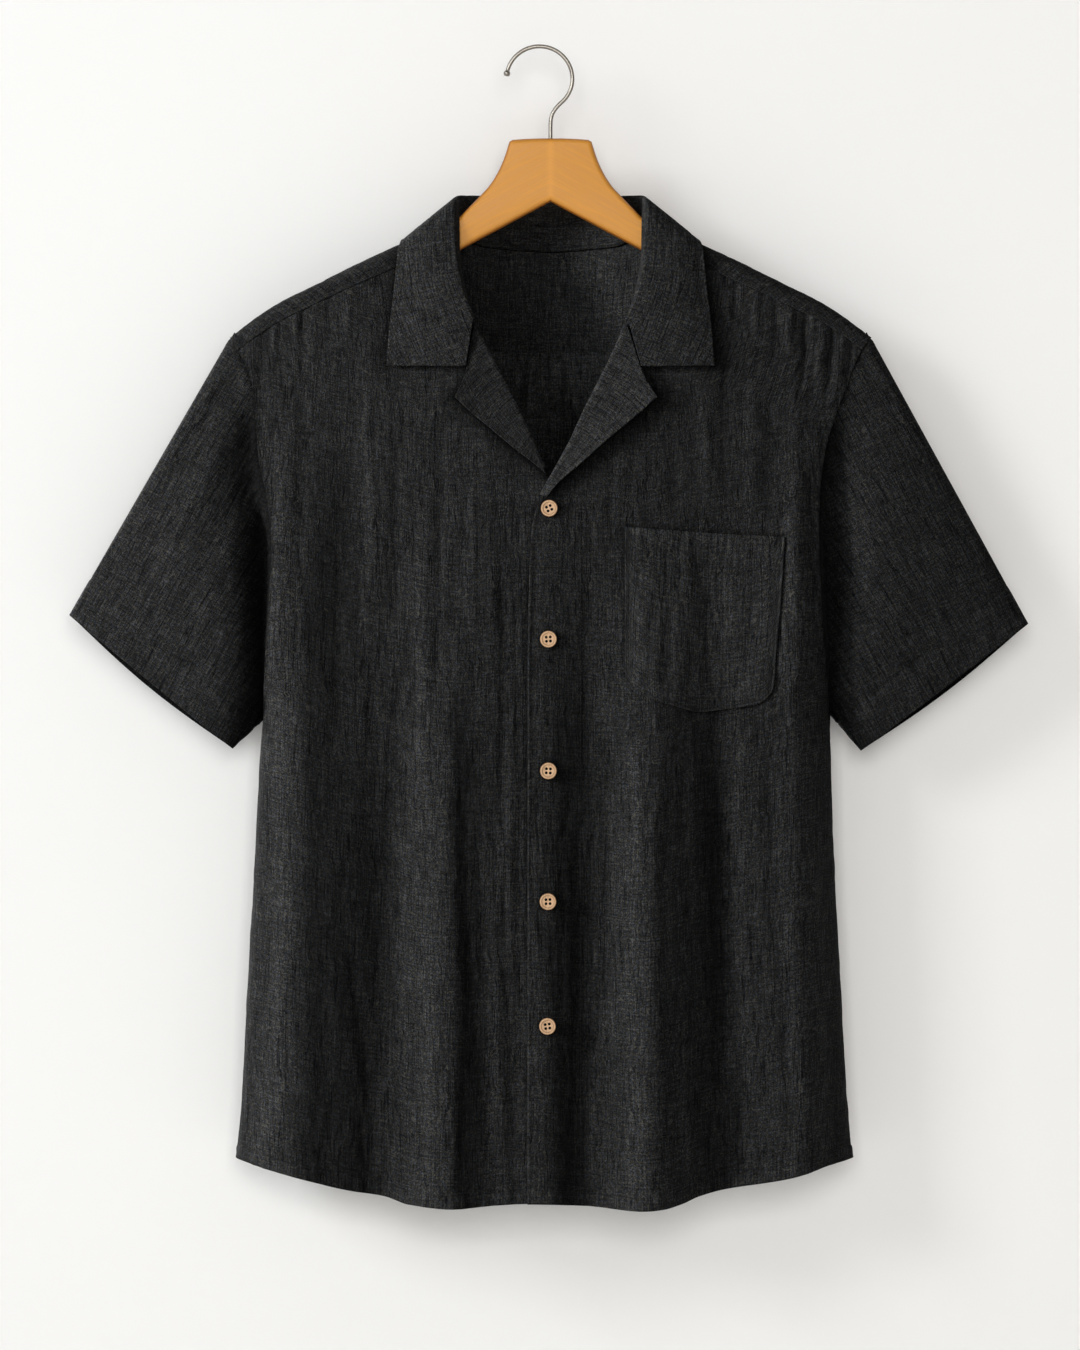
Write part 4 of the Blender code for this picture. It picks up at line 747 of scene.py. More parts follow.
def add_sleeve(name, sleeve, material, inside_cloth):
    side, middle = sleeve[0], SLEEVE_RING // 2
    ring = np.linspace(0.0, 2.0, SLEEVE_RING, endpoint=False)[None, :]
    along = lerp(-SLEEVE_TUCK, 1.0, crowd(SLEEVE_ROWS, (0.0, 1.0, 0.04), (1.0, 0.8, 0.03)))[:, None]
    points = sleeve_points(sleeve, ring, along)
    u, v = travelled(points, 1), travelled(points)[-1:] * along
    u = u - u[:, [middle]] + u[-1, middle]
    to_hem = v[-1:] - v
    grain = unit(points[-1, 0] - points[0, 0])[::2]
    away = (points - points[0, 0])[..., ::2]
    run, off = away @ grain, away @ np.array((grain[1], -grain[0])) * side
    off = np.where(ring <= 1.0, 1.0, -1.0) * np.abs(off)
    near = smoothstep(v / 10.0) * smoothstep((np.abs(off) + 0.5) / 9.0)
    relief = 0.6 * creases(SLEEVE_CREASES[name], off, run) + crinkle(off, run, 150 + side * 7)
    relief = SLEEVE_RELIEF[side] * relief * near * smoothstep((to_hem + 8.0) / 40.0)
    relief += 0.4 * smoothstep((SLEEVE_HEM + 1.0 - to_hem) / 2.0) - 0.35 * bell(to_hem - SLEEVE_HEM, 1.3)
    relief += 0.35 * noise(u / 5.0, v / 12.0, 158) * bell(to_hem - SLEEVE_HEM + 4.0, 7.0)
    relief += 0.35 * noise(u / 6.0, v / 20.0, 159) * bell(v - 4.0, 2.6) - 0.9 * smoothstep((3.0 - v) / 4.0)
    outer = outward_sign(points, grid_normals(points, True))
    # the relief also goes to the material as painted shade and highlight
    add_cloth(name, points, material, outer * relief, (off, run), ring=True, tone=relief, inside=inside_cloth)


# ---------------------------------------------------------------- lapels, collar, pocket
def add_lapel(name, side, edge_table, outline, low_z, tip_lift, behind, material):
    up = crowd(LAPEL_ROWS, (0.0, 0.6, 0.04), (1.0, 1.0, 0.03))[:, None]
    z = lerp(low_z, LAPEL_TOP_Z, up)
    roll_x = read(edge_table, z)
    ahead = read(edge_table, z + LAPEL_STEP) - roll_x
    length = np.hypot(LAPEL_STEP, ahead)
    place = up * (len(outline) - 1)
    outer_x, outer_z = by_place(outline, place, 0), by_place(outline, place, 1)
    turn = np.radians(np.linspace(*LAPEL_TURN))[None, :]
    x = roll_x - side * LAPEL_STEP / length * LAPEL_ROLL * np.cos(turn)
    deep = z + np.abs(ahead) / length * LAPEL_ROLL * np.cos(turn)
    rolled = np.stack((x, -front_depth(x, deep) - behind - LAPEL_ROLL * (1.0 + np.sin(turn)), deep), -1)
    out = crowd(LAPEL_COLUMNS, (1.0, 1.0, 0.04))[None, :]
    x = lerp(roll_x, outer_x, out) - side * LAPEL_NOTCH_BEND * np.sin(math.pi * out ** 1.6) * up ** 4
    flat_z = lerp(z, outer_z, out)
    lift = 2.0 * LAPEL_ROLL + behind + (tip_lift - 2.0 * LAPEL_ROLL) * out * out * up
    points = np.concatenate((rolled, np.stack((x, -front_depth(x, flat_z) - lift, flat_z), -1)), 1)
    u, v = flat_coordinates(points)
    inner = np.linalg.norm(points - points[:, :1], axis=-1)
    width, to_top = inner[:, -1:], np.linalg.norm(points - points[-1:], axis=-1)
    to_edge = width - inner
    relief = 0.5 * crinkle(u, v, 180 + side) * smoothstep(to_edge / 8.0 + 0.2)
    relief += seam(to_edge, LAPEL_STITCH, widths=(1.3, 1.1)) + 0.2 * bell(to_top, 1.3)
    relief += 0.3 * noise(v / 4.5, u / 9.0, 183) * bell(to_edge - 4.0, 5.0)
    relief *= lerp(0.1, 1.0, smoothstep((width - 8.0) / 24.0))
    add_cloth(name, points, material, relief, (v, u), COLLAR_WALL, toward=(0, -1, 0))


def leaf_sign(normals):
    """1 where the collar's normals point to the front beside its left end, or -1."""
    return -np.sign(np.mean(normals[-20:-4, :40, 1]))


def collar_points():
    """Rows of the collar up its stand, over the fold and down the leaf, from the left end to the right."""
    last = len(COLLAR) - 1
    places = 2 * last * crowd(COLLAR_PLACES, (0.0, 1.4, 0.02), (1.0, 1.4, 0.02))
    folded = np.where(places <= last, places, 2 * last - places)
    side = np.where(places <= last, -1.0, 1.0)
    columns = [by_place(COLLAR, folded, c) for c in range(9)]
    columns[5] = columns[5] + FOLD_RISE * smoothstep((folded - RIDGE_STATION + 2.0) / 2.0)
    neck, fold, edge = (
        np.stack((CENTRE_TOP + side * columns[c], columns[c + 1], columns[c + 2]), -1) for c in (0, 3, 6)
    )
    up, fall = unit(fold - neck), unit(edge - fold)
    out = unit(fall - up * np.sum(fall * up, -1, keepdims=True))
    turn = np.arccos(np.clip(np.sum(up * fall, -1), -1.0, 1.0))[:, None]
    sections = [lerp(neck, fold, t) for t in np.linspace(0.0, 1.0, STAND_STEPS, endpoint=False)]
    for t in np.linspace(0.0, 1.0, ARC_STEPS):
        sections.append(fold + LAPEL_ROLL * (out * (1.0 - np.cos(turn * t)) + up * np.sin(turn * t)))
    start = sections[-1]
    notch_x = CENTRE_TOP + side * np.where(side < 0.0, NOTCH_LEFT_X, NOTCH_RIGHT_X)
    notch = np.stack(np.broadcast_arrays(notch_x, NOTCH_Y, NOTCH_Z), -1)
    bend = (notch - lerp(start, edge, NOTCH_SHARE)) * np.maximum(0.0, 1.0 - folded)[:, None]
    rise = lerp(SHOULDER_BOW, BOW, np.minimum(1.0, np.abs(folded - RIDGE_STATION) / BOW_RUN))[:, None]
    for t in crowd(LEAF_STEPS, (1.0, 1.0, 0.03))[1:]:
        bent = t / NOTCH_SHARE if t < NOTCH_SHARE else (1.0 - t) / (1.0 - NOTCH_SHARE)
        sections.append(lerp(start, edge, t) + bend * bent + up * rise * math.sin(math.pi * t))
    return np.stack(sections, 0)


def add_collar(material):
    points = collar_points()
    u, v = flat_coordinates(points)
    ends = [np.linalg.norm(points - points[:, [c]], axis=-1) for c in (0, -1)]
    leaf = smoothstep((v - 20.0) / 14.0)
    fold_line = points[STAND_STEPS]         # the grain follows it: across and along are in its frame
    heading = np.pad(np.gradient(fold_line, axis=0), ((HEADING_SPREAD, HEADING_SPREAD), (0, 0)), "edge")
    window = np.ones(2 * HEADING_SPREAD + 1) / (2 * HEADING_SPREAD + 1)
    heading = unit(np.stack([np.convolve(line, window, "valid") for line in heading.T], -1))
    away = points - fold_line
    shift = np.sum(away * heading, -1)
    across = np.sqrt(np.maximum(np.sum(away * away, -1) - shift * shift, 0.0))
    across[:STAND_STEPS] *= -1.0
    along = travelled(fold_line)
    along = along - along[-1] / 2 + shift
    relief = 0.5 * crinkle(across * 1.2, along, 200) * lerp(0.4, 1.0, leaf)
    for away in (v[-1:] - v, np.minimum(*ends)):
        pucker = 0.3 * noise(u / 4.6, v / 5.0, 204) * bell(away - 5.0, 5.0)
        relief += leaf * (seam(away, COLLAR_STITCH) + pucker)
    relief = relief * leaf_sign(grid_normals(points))
    # the relief's size goes to the material as painted highlight
    add_cloth("collar", points, material, relief, (across, along), COLLAR_WALL, tone=np.abs(relief))


def add_pocket(material):
    across = crowd(POCKET_COLUMNS, (0.0, 1.0, 0.02), (1.0, 1.0, 0.02))[None, :]
    up = crowd(POCKET_ROWS, (0.0, 1.0, 0.02), (1.0, 1.0, 0.02))[:, None]
    x = np.full((POCKET_ROWS, POCKET_COLUMNS), float(POCKET_LEFT[0][1]))
    for _ in range(SETTLE):
        z = lerp(read(POCKET_BOTTOM, x), read(POCKET_TOP, x), up)
        x = lerp(read(POCKET_LEFT, z), read(POCKET_RIGHT, z), across)
    width = read(POCKET_RIGHT, z) - read(POCKET_LEFT, z)
    to_edge = np.minimum.reduce((across * width, (1.0 - across) * width, z - read(POCKET_BOTTOM, x)))
    to_top = read(POCKET_TOP, x) - z
    points = np.stack((x, -front_depth(x, z), z), -1)
    inside = smoothstep(to_edge / 14.0)
    relief = front_relief(x, z, 1) * (1.0 - 0.35 * inside) + 1.1 + 0.7 * inside + crests(x, z)
    relief += inside * 0.6 * (crinkle(x, z, 230) + creases(POCKET_CREASES, x, z))
    relief += inside * 0.9 * smoothstep((12.0 - to_top) / 12.0)
    relief += seam(to_edge, POCKET_STITCH, 0.3, 0.2, (1.2, 1.0)) - 0.3 * bell(to_top - POCKET_HEM, 1.2)
    add_cloth("pocket", points, material, relief, flat_coordinates(points), toward=(0, -1, 0))


# ---------------------------------------------------------------- buttons, hanger, hook
def ring_angles(count):
    return 2.0 * math.pi * np.arange(count) / count


def lathe(section, steps):
    """Vertices and faces of a section turned about its own axis."""
    verts, faces, rings = [], [], []
    for radius, height in section:
        if radius == 0.0:
            rings.append([len(verts)] * steps)
            verts.append((0.0, 0.0, height))
            continue
        rings.append(list(range(len(verts), len(verts) + steps)))
        verts += [(radius * math.cos(a), radius * math.sin(a), height) for a in ring_angles(steps)]
    for low, high in zip(rings, rings[1:]):
        for k in range(steps):
            n = (k + 1) % steps
            face = [low[k], low[n], high[n], high[k]]
            faces.append([v for i, v in enumerate(face) if v != face[i - 1]])
    return np.array(verts), faces


def drill(obj, cutters, sharp):
    """The holes cut out, and smooth shading except at edges sharper than an angle in degrees."""
    for cutter in cutters:
        boolean = obj.modifiers.new(cutter.name, "BOOLEAN")
        boolean.operation, boolean.solver, boolean.object = "DIFFERENCE", "EXACT", cutter
    mesh = bpy.data.meshes.new_from_object(obj.evaluated_get(bpy.context.evaluated_depsgraph_get()))
    obj.modifiers.clear()
    old, obj.data = obj.data, mesh
    bpy.data.meshes.remove(old)
    for cutter in cutters:
        bpy.data.objects.remove(cutter, do_unlink=True)
    mesh.shade_smooth()
    mesh.set_sharp_from_angle(angle=math.radians(sharp))


def add_cutter(radius, depth, sides, place):
    shape = bmesh.new()
    bmesh.ops.create_cone(
        shape, cap_ends=True, segments=sides, radius1=radius * MM, radius2=radius * MM, depth=depth * MM
    )
    mesh = bpy.data.meshes.new("cutter")
    shape.to_mesh(mesh)
    shape.free()
    cutter = new_object("cutter", mesh)
    cutter.matrix_world = place
    return cutter


def button_place(x, z, turn):
    """A button's frame in metres, leaning with the front under it."""
    left, right, here = (float(front_depth(np.array(x + s * BUTTON_RADIUS), np.array(z))) for s in (-1, 1, 0))
    depth = max(here, (left + right) / 2) + BUTTON_STAND + BUTTON_THICK / 2
    lean = Matrix.Rotation(-math.atan((right - left) / (2.0 * BUTTON_RADIUS)), 4, "Y")
    turned = Matrix.Rotation(math.radians(turn), 4, "Z")
    return Matrix.Translation(Vector((x, -depth, z)) * MM) @ UPRIGHT @ lean @ turned


def add_buttons(material, thread):
    half = BUTTON_PITCH / 2
    for number, spot in enumerate(BUTTONS, 1):
        verts, faces = lathe(BUTTON_SECTION, 64)
        obj = add_mesh(f"button_{number}_turned", verts, faces, material)
        corners = ((-half, -half), (half, -half), (half, half), (-half, half))
        holes = [Matrix.Translation((x * MM, y * MM, 0.0)) for x, y in corners]
        drill(obj, [add_cutter(BUTTON_HOLE, 4 * BUTTON_THICK, 20, hole) for hole in holes], 50.0)
        place = button_place(*spot)
        obj.data.transform(place)
        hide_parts(f"button_{number}")
        tie = thread_bars(number, half, thread)
        tie.data.transform(place)


def capsule(start, end, radius, sides=6):
    """Vertices and faces of a short thread from start to end, with pointed round ends."""
    axis = unit(end - start)
    aside = np.cross(axis, np.array((0.0, 0.0, 1.0)))
    if np.linalg.norm(aside) < 0.1:
        aside = np.cross(axis, np.array((1.0, 0.0, 0.0)))
    aside = unit(aside)
    angles = ring_angles(sides)[:, None]
    ring = radius * (np.cos(angles) * aside + np.sin(angles) * np.cross(axis, aside))
    inset = axis * radius
    verts = np.concatenate(([start], start + inset + ring, end - inset + ring, [end]))
    faces = []
    for k in range(sides):
        a, b = 1 + k, 1 + (k + 1) % sides
        faces += [(0, b, a), (a, b, sides + b, sides + a), (sides + a, sides + b, 1 + 2 * sides)]
    return verts, faces


def thread_bars(number, half, material):
    """Two wraps of thread between the holes, one on each side."""
    verts, faces = [], []
    for side in (-half, half):
        for shift in (-THREAD_SPREAD, THREAD_SPREAD):
            start = np.array((side + shift, -half, THREAD_HEIGHT))
            end = np.array((side + shift * 0.6, half, THREAD_HEIGHT))
            bar, bar_faces = capsule(start, end, THREAD_RADIUS)
            faces += [tuple(i + sum(map(len, verts)) for i in face) for face in bar_faces]
            verts.append(bar)
    return add_mesh(f"button_{number}_thread", np.concatenate(verts), faces, material)


def smooth_outline(points, step):
    """Points along straight runs about a step apart, so a bevel shades evenly."""
    made = []
    for a, b in zip(points, points[1:]):
        count = max(1, round(math.dist(a, b) / step))
        made += [(lerp(a[0], b[0], k / count), lerp(a[1], b[1], k / count)) for k in range(count)]
    return made + [points[-1]]


def hanger_outline():
    def top_z(x):
        return float(ridge_z(CENTRE_TOP + x)) - HANGER_DROP

    places = np.linspace(HANGER_STRAIGHT, len(HANGER_SHOULDER) - 1, 40)
    curved = zip(*(by_place(HANGER_SHOULDER, places, c) for c in (0, 1)))
    half = list(HANGER_SHOULDER[:HANGER_STRAIGHT]) + [(float(x), float(z)) for x, z in curved]
    half += [(x, top_z(x)) for x in np.linspace(*HANGER_ARM, 22)]
    half += [(x, top_z(HANGER_END[0][0]) + z) for x, z in HANGER_END]
    half += [(x, HANGER_APEX_Z - HANGER_UNDER_SLOPE * x) for x in HANGER_UNDER]
    return smooth_outline(half + [(0.0, HANGER_APEX_Z)], 6.0)


def add_hanger(material):
    half = hanger_outline()
    outline = half + [(-x, z) for x, z in reversed(half[:-1])]
    curve = bpy.data.curves.new("hanger_outline", "CURVE")
    curve.dimensions, curve.fill_mode = "2D", "BOTH"
    curve.extrude = (HANGER_THICK / 2 - HANGER_ROUND) * MM
    curve.bevel_depth, curve.bevel_resolution = HANGER_ROUND * MM, 7
    curve.offset = -HANGER_ROUND * MM
    spline = curve.splines.new("POLY")
    spline.points.add(len(outline) - 1)
    for spot, (x, z) in zip(spline.points, outline):
        spot.co = (x * MM, z * MM, 0.0, 1.0)
    spline.use_cyclic_u = True
    drawn = bpy.data.objects.new("hanger_outline", curve)
    mesh = bpy.data.meshes.new_from_object(drawn)
    bpy.data.objects.remove(drawn)
    mesh.transform(Matrix.Translation((CENTRE_TOP * MM, 0.0, 0.0)) @ UPRIGHT)
    shape = bmesh.new()
    shape.from_mesh(mesh)
    bmesh.ops.remove_doubles(shape, verts=shape.verts, dist=0.01 * MM)
    bmesh.ops.recalc_face_normals(shape, faces=shape.faces)
    shape.to_mesh(mesh)
    shape.free()
    mesh.materials.clear()
    mesh.materials.append(material)
    obj = new_object("hanger_wood", mesh)
    seat = Matrix.Translation((CENTRE_TOP * MM, 0.0, HANGER_SHOULDER[0][1] * MM))
    drill(obj, [add_cutter(HOOK_BORE / 2, 2 * HOOK_DEPTH, 32, seat)], 40.0)
    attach(obj, "root")
    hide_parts("hanger")


def add_hook(material):
    middle = np.array((HOOK_CENTRE[0], 0.0, HOOK_CENTRE[1]))
    route = []                 # the bow, then the neck down into the wood
    for a in np.radians(np.linspace(HOOK_START, HOOK_END, 110)):
        high = HOOK_HIGH if a > 0.0 else HOOK_LOW
        route.append(middle + np.array((HOOK_WIDE * math.cos(a), 0.0, high * math.sin(a))))
    seat = (CENTRE_TOP, HANGER_SHOULDER[0][1] - HOOK_DEPTH + 1.0)
    neck = np.array([route[-1][::2], *HOOK_NECK, seat])
    for z in np.linspace(neck[0, 1], neck[-1, 1], 30)[1:]:
        route.append(np.array((float(curve_at(-neck[:, 1], neck[:, 0], -z)), 0.0, z)))
    back = unit(route[0] - route[1])
    ball = [
        (route[0] + back * HOOK_TIP * math.cos(a), max(0.05, HOOK_TIP * math.sin(a)))
        for a in np.radians(np.linspace(38.0, 178.0, 14))
    ]
    rings = ball + [(point, HOOK_WIRE / 2) for point in route[2:]]
    points, sides = [point for point, _ in rings], 20
    verts, faces = [], []
    for k, (point, size) in enumerate(rings):
        along = unit(points[min(k + 1, len(points) - 1)] - points[max(k - 1, 0)])
        aside = np.array((0.0, 1.0, 0.0))
        other = np.cross(along, aside)
        verts += [point + size * (math.cos(a) * aside + math.sin(a) * other) for a in ring_angles(sides)]
    for first in range(0, (len(points) - 1) * sides, sides):
        faces += [(first + s, first + (s + 1) % sides, first + sides + (s + 1) % sides, first + sides + s)
                  for s in range(sides)]
    faces += [tuple(range(sides))[::-1], tuple(range(len(verts) - sides, len(verts)))]
    obj = add_mesh("hook_wire", np.array(verts), faces, material)
    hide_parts("hook")


# ---------------------------------------------------------------- stitches
class Threads:
    """Rows of short stitches laid on one piece, joined into one mesh."""

    def __init__(self, piece, wall=WALL):
        self.piece, self.lift = piece, wall / 2 + STITCH_RADIUS * 0.35
        obj, self.points, self.normals = PIECES[piece]
        self.tree = BVHTree.FromPolygons(
            [tuple(p) for p in self.points.reshape(-1, 3)], [tuple(p.vertices) for p in obj.data.polygons]
        )
        self.verts, self.faces, self.count = [], [], 0

    def cast(self, line, way=1.0):
        """A row where each (x, z) meets the piece, seen from the front, or from behind for way -1."""
        spots = []
        for x, z in line:
            hit, normal, _, _ = self.tree.ray_cast(Vector((x, -CAST_FROM * way, z)), Vector((0.0, way, 0.0)))
            if hit is not None:
                spots.append((np.array(hit), np.array(-normal if normal.y * way > 0.0 else normal)))
        self.row(spots)

    def at(self, row, column, sign):
        """A spot of the grid by fractional row and column."""
        rows, columns = self.points.shape[:2]
        r, c = min(max(row, 0.0), rows - 1.001), min(max(column, 0.0), columns - 1.001)
        i, j = int(r), int(c)
        point, normal = (
            lerp(lerp(a[i, j], a[i, j + 1], c - j), lerp(a[i + 1, j], a[i + 1, j + 1], c - j), r - i)
            for a in (self.points, self.normals)
        )
        return point, unit(normal) * sign

    def row(self, spots):
        """Stitches along a run of (point, normal) spots."""
        if len(spots) < 2:
            return
        points = np.array([point + normal * self.lift for point, normal in spots])
        far = travelled(points)
        for k in range(int(far[-1] / STITCH_PITCH)):
            place = k * STITCH_PITCH
            start, end = (
                np.array([np.interp(spot, far, line) for line in points.T])
                for spot in (place, place + STITCH_LENGTH)
            )
            if 0.5 * STITCH_LENGTH <= np.linalg.norm(end - start) <= 1.5 * STITCH_LENGTH:
                verts, faces = capsule(start, end, STITCH_RADIUS)
                self.faces += [tuple(i + self.count for i in face) for face in faces]
                self.count += len(verts)
                self.verts.append(verts)

    def make(self, material):
        obj = add_mesh(f"stitches_{self.piece}", np.concatenate(self.verts), self.faces, material)


def hem_line(hem, first, last, count):
    return [(x, float(read(hem, x)) + HEM_BAND) for x in np.linspace(first, last, count)]


def armhole_line(side, top, count):
    return [(float(side_x(z, side)) - side * SEAM_STITCH, z) for z in np.linspace(-500.0, top, count)]


def add_stitches(material):
    for side, piece, front_x in ((-1, "front_left", 21.0), (1, "front_right", -9.0)):
        t = Threads(piece)
        t.cast(hem_line(FRONT_HEM, side_x(-851.0, side) * 0.992, front_x, 160))
        t.cast(armhole_line(side, -232.0, 120))
        if side > 0:
            t.cast([(30.3, z) for z in np.linspace(-876.0, -352.0, 160)])
        t.make(material)
    t = Threads("back")
    t.cast(hem_line(BACK_HEM, -229.0, 234.0, 200), -1.0)
    for side in (-1, 1):
        t.cast(armhole_line(side, -262.0, 110), -1.0)
    t.make(material)
    t = Threads("yoke")
    for side in (-1, 1):
        xs = CENTRE_TOP + side * np.linspace(118.0, 232.0, 90)
        t.cast([(x, float(yoke_front_z(x)) + 4.4) for x in xs])
    t.cast([(x, float(yoke_back_z(x)) + SEAM_STITCH) for x in np.linspace(-212.0, 226.0, 200)], -1.0)
    t.make(material)
    for name in SLEEVES:
        t = Threads(name)
        rows, columns = t.points.shape[:2]
        up, sign = travelled(t.points[::-1]), outward_sign(t.points, t.normals)
        places = [rows - 1 - np.interp(SLEEVE_HEM, up[:, c], range(rows)) for c in range(columns - 1)]
        t.row([t.at(row, column, sign) for column, row in enumerate(places)])
        t.make(material)
    for name in ("lapel_left", "lapel_right"):
        t = Threads(name, COLLAR_WALL)
        gaps = np.linalg.norm(t.points - t.points[:, -1:], axis=-1)
        sign = -np.sign(np.mean(t.normals[..., 1]))
        places = [np.interp(-LAPEL_STITCH, -gap, range(len(gap))) for gap in gaps]
        t.row([t.at(row, column, sign) for row, column in enumerate(places)][6:])
        t.make(material)
    add_collar_stitches(material)
    t = Threads("pocket")
    line = [(float(read(POCKET_LEFT, z)) + POCKET_STITCH, z) for z in np.linspace(-370.5, -477.0, 60)]
    line += [(x, float(read(POCKET_BOTTOM, x)) + POCKET_STITCH) for x in np.linspace(67.5, 175.0, 70)]
    line += [(float(read(POCKET_RIGHT, z)) - POCKET_STITCH, z) for z in np.linspace(-486.0, -377.0, 60)]
    t.cast(line)
    t.cast([(x, float(read(POCKET_TOP, x)) - POCKET_HEM) for x in np.linspace(66.5, 182.5, 70)])
    t.make(material)


def add_collar_stitches(material):
    """One row inside the leaf's edge and one inside each of its ends."""
    t = Threads("collar", COLLAR_WALL)
    rows, columns = t.points.shape[:2]
    half, sign = columns // 2, leaf_sign(t.normals)

    def end_column(row, last):
        gap = np.linalg.norm(t.points[row] - t.points[row, -1 if last else 0], axis=1)
        if last:
            return float(np.interp(-COLLAR_STITCH, -gap[half:], range(half, columns)))
        return float(np.interp(COLLAR_STITCH, gap[:half], range(half)))

    gaps = np.linalg.norm(t.points - t.points[-1], axis=-1)
    spots = [t.at(np.interp(-COLLAR_STITCH, -gaps[:, c], range(rows)), c, sign) for c in range(columns)]
    t.row(spots[int(end_column(rows - 4, False)) + 1:int(end_column(rows - 4, True))])
    for last in (False, True):
        inner = range(STAND_STEPS + ARC_STEPS + 4, rows - 5)
        t.row([t.at(row, end_column(row, last), sign) for row in inner])
    t.make(material)


# ---------------------------------------------------------------- materials
class Shader:
    """A new material with short ways to add nodes to it."""

    def __init__(self, name):
        self.material = bpy.data.materials.new(name)
        self.material.use_nodes = True
        self.nodes, self.links = self.material.node_tree.nodes, self.material.node_tree.links
        self.surface = self.nodes["Principled BSDF"]

    def put(self, node, values):
        """Each input linked to an output, or set to a plain value."""
        for key, value in values.items():
            if isinstance(value, bpy.types.NodeSocket):
                self.links.new(value, node.inputs[key])
            elif value is not None:
                node.inputs[key].default_value = value

    def node(self, kind, **values):
        made = self.nodes.new(f"ShaderNode{kind}")
        self.put(made, values)
        return made

    def place(self):
        return self.node("TexCoord").outputs["Object"]

    def attribute(self, name):
        made = self.node("Attribute")
        made.attribute_name = name
        return made.outputs

    def ramp(self, source, *stops):
        node = self.node("ValToRGB", Fac=source)
        while len(node.color_ramp.elements) < len(stops):
            node.color_ramp.elements.new(0.5)
        for element, (place, colour) in zip(node.color_ramp.elements, stops):
            element.position = place
            element.color = (*(colour if isinstance(colour, tuple) else (colour,) * 3), 1.0)
        return node.outputs["Color"]

    def noise(self, source, scale, detail=2.0, shift=0.0):
        """Noise stretched by a scale for each axis."""
        mapped = self.node("Mapping", Vector=source, Scale=scale, Location=(shift, shift * 0.7, shift * 0.3))
        return self.node("TexNoise", Vector=mapped.outputs["Vector"], Scale=1.0, Detail=detail).outputs["Fac"]

    def mix(self, a, b, factor=1.0, kind="MULTIPLY"):
        node = self.node("Mix")
        node.data_type, node.blend_type = "RGBA", kind
        self.put(node, {0: factor, 6: a, 7: (*b, 1.0) if isinstance(b, tuple) else b})
        return node.outputs[2]

    def maths(self, kind, a, b=None):
        node = self.node("Math")
        node.operation = kind
        self.put(node, {0: a, 1: b})
        return node.outputs[0]

    def total(self, *terms):
        """The sum of (source, share) terms."""
        parts = [source if share == 1.0 else self.maths("MULTIPLY", source, share) for source, share in terms]
        made = parts[0]
        for part in parts[1:]:
            made = self.maths("ADD", made, part)
        return made

    def finish(self, values, bump=None):
        """The shader's own sockets; bump is a height, a strength and a distance in metres."""
        self.put(self.surface, values)
        if bump is not None:
            relief = self.node("Bump", Height=bump[0], Strength=bump[1], Distance=bump[2])
            self.put(self.surface, {"Normal": relief.outputs["Normal"]})
        return self.material


def gauze(name, tone=1.0):
    """Charcoal slub gauze; the flat map is 1 for every 100 mm of cloth."""
    s = Shader(name)
    flat = s.node("UVMap")
    flat.uv_map = "flat"

    def spots(*scale, detail=2.0, shift=0.0):
        return s.noise(flat.outputs["UV"], (*scale, 1.0), detail, shift)

    def lines(source, width, presence, low, high):
        """Thin lines where the source crosses its middle, kept where presence is high."""
        off = s.maths("ABSOLUTE", s.maths("SUBTRACT", source, 0.5))
        return s.mix(s.ramp(off, (0.0, 1.0), (width, 0.0)), s.ramp(presence, (low, 0.0), (high, 1.0)))

    warp = s.total((spots(95.0, 5.0, detail=1.0), 1.0), (spots(190.0, 9.0, detail=1.0, shift=1.7), 0.7))
    weft = s.total((spots(5.0, 95.0, detail=1.0, shift=3.1), 1.0),
                   (spots(9.0, 190.0, detail=1.0, shift=4.3), 0.7))
    specks = spots(105.0, 95.0, detail=2.5, shift=5.3)
    blotch = spots(9.0, 2.5, detail=3.0, shift=17.9)
    wrinkle = lines(spots(24.0, 1.9, detail=1.5, shift=7.7), 0.036, spots(16.0, 3.0, shift=9.1), 0.4, 0.5)
    rung = lines(spots(2.6, 20.0, detail=1.5, shift=11.3), 0.03, spots(5.0, 9.0, shift=13.1), 0.5, 0.6)
    fibre = lines(spots(15.0, 12.0, detail=1.0, shift=29.0), 0.014,
                  spots(19.0, 17.0, detail=1.0, shift=31.7), 0.52, 0.6)
    level = s.maths("MULTIPLY", s.total((warp, 0.27), (weft, 0.2), (specks, 0.62), (blotch, 0.08)), 0.765)
    # greys and fibres scaled for lighter and darker copies of the one cloth, painted light and painted shade
    colour = s.ramp(level, *((place, grey * tone) for place, grey in CLOTH_GREYS))
    tint = s.ramp(spots(60.0, 44.0, shift=23.1), *CLOTH_TINTS)
    colour = s.mix(colour, tint)
    # painted shade along the thin wrinkle lines, which also dent the bump below
    colour = s.mix(colour, (0.42, 0.43, 0.46), wrinkle)
    colour = s.mix(colour, (0.62, 0.62, 0.64), rung)
    colour = s.mix(colour, tuple(c * tone for c in FIBRE_COLOUR), s.maths("MULTIPLY", fibre, 0.85), "MIX")
    # painted shade in the relief's troughs and painted highlight on its ridges, from its height at each point
    lifted = s.maths("ADD", s.maths("MULTIPLY", s.attribute("tone")["Fac"], 0.13), 0.5)
    colour = s.mix(colour, s.ramp(lifted, (0.2, 0.5), (0.5, 1.0), (0.8, 1.4)))
    # painted shade from darken(): under overlapping edges, along seams and in the sleeves' valleys
    colour = s.mix(colour, s.attribute("shade")["Color"])
    height = s.total((warp, 1.0), (weft, 1.0), (specks, 1.0))
    height = s.maths("SUBTRACT", height, s.maths("MULTIPLY", wrinkle, 0.8))
    return s.finish({
        "Base Color": colour, "Roughness": 0.95, "Specular IOR Level": 0.04, "Sheen Weight": 0.012,
        "Sheen Roughness": 0.4,
    }, (height, 0.45, 0.0009))


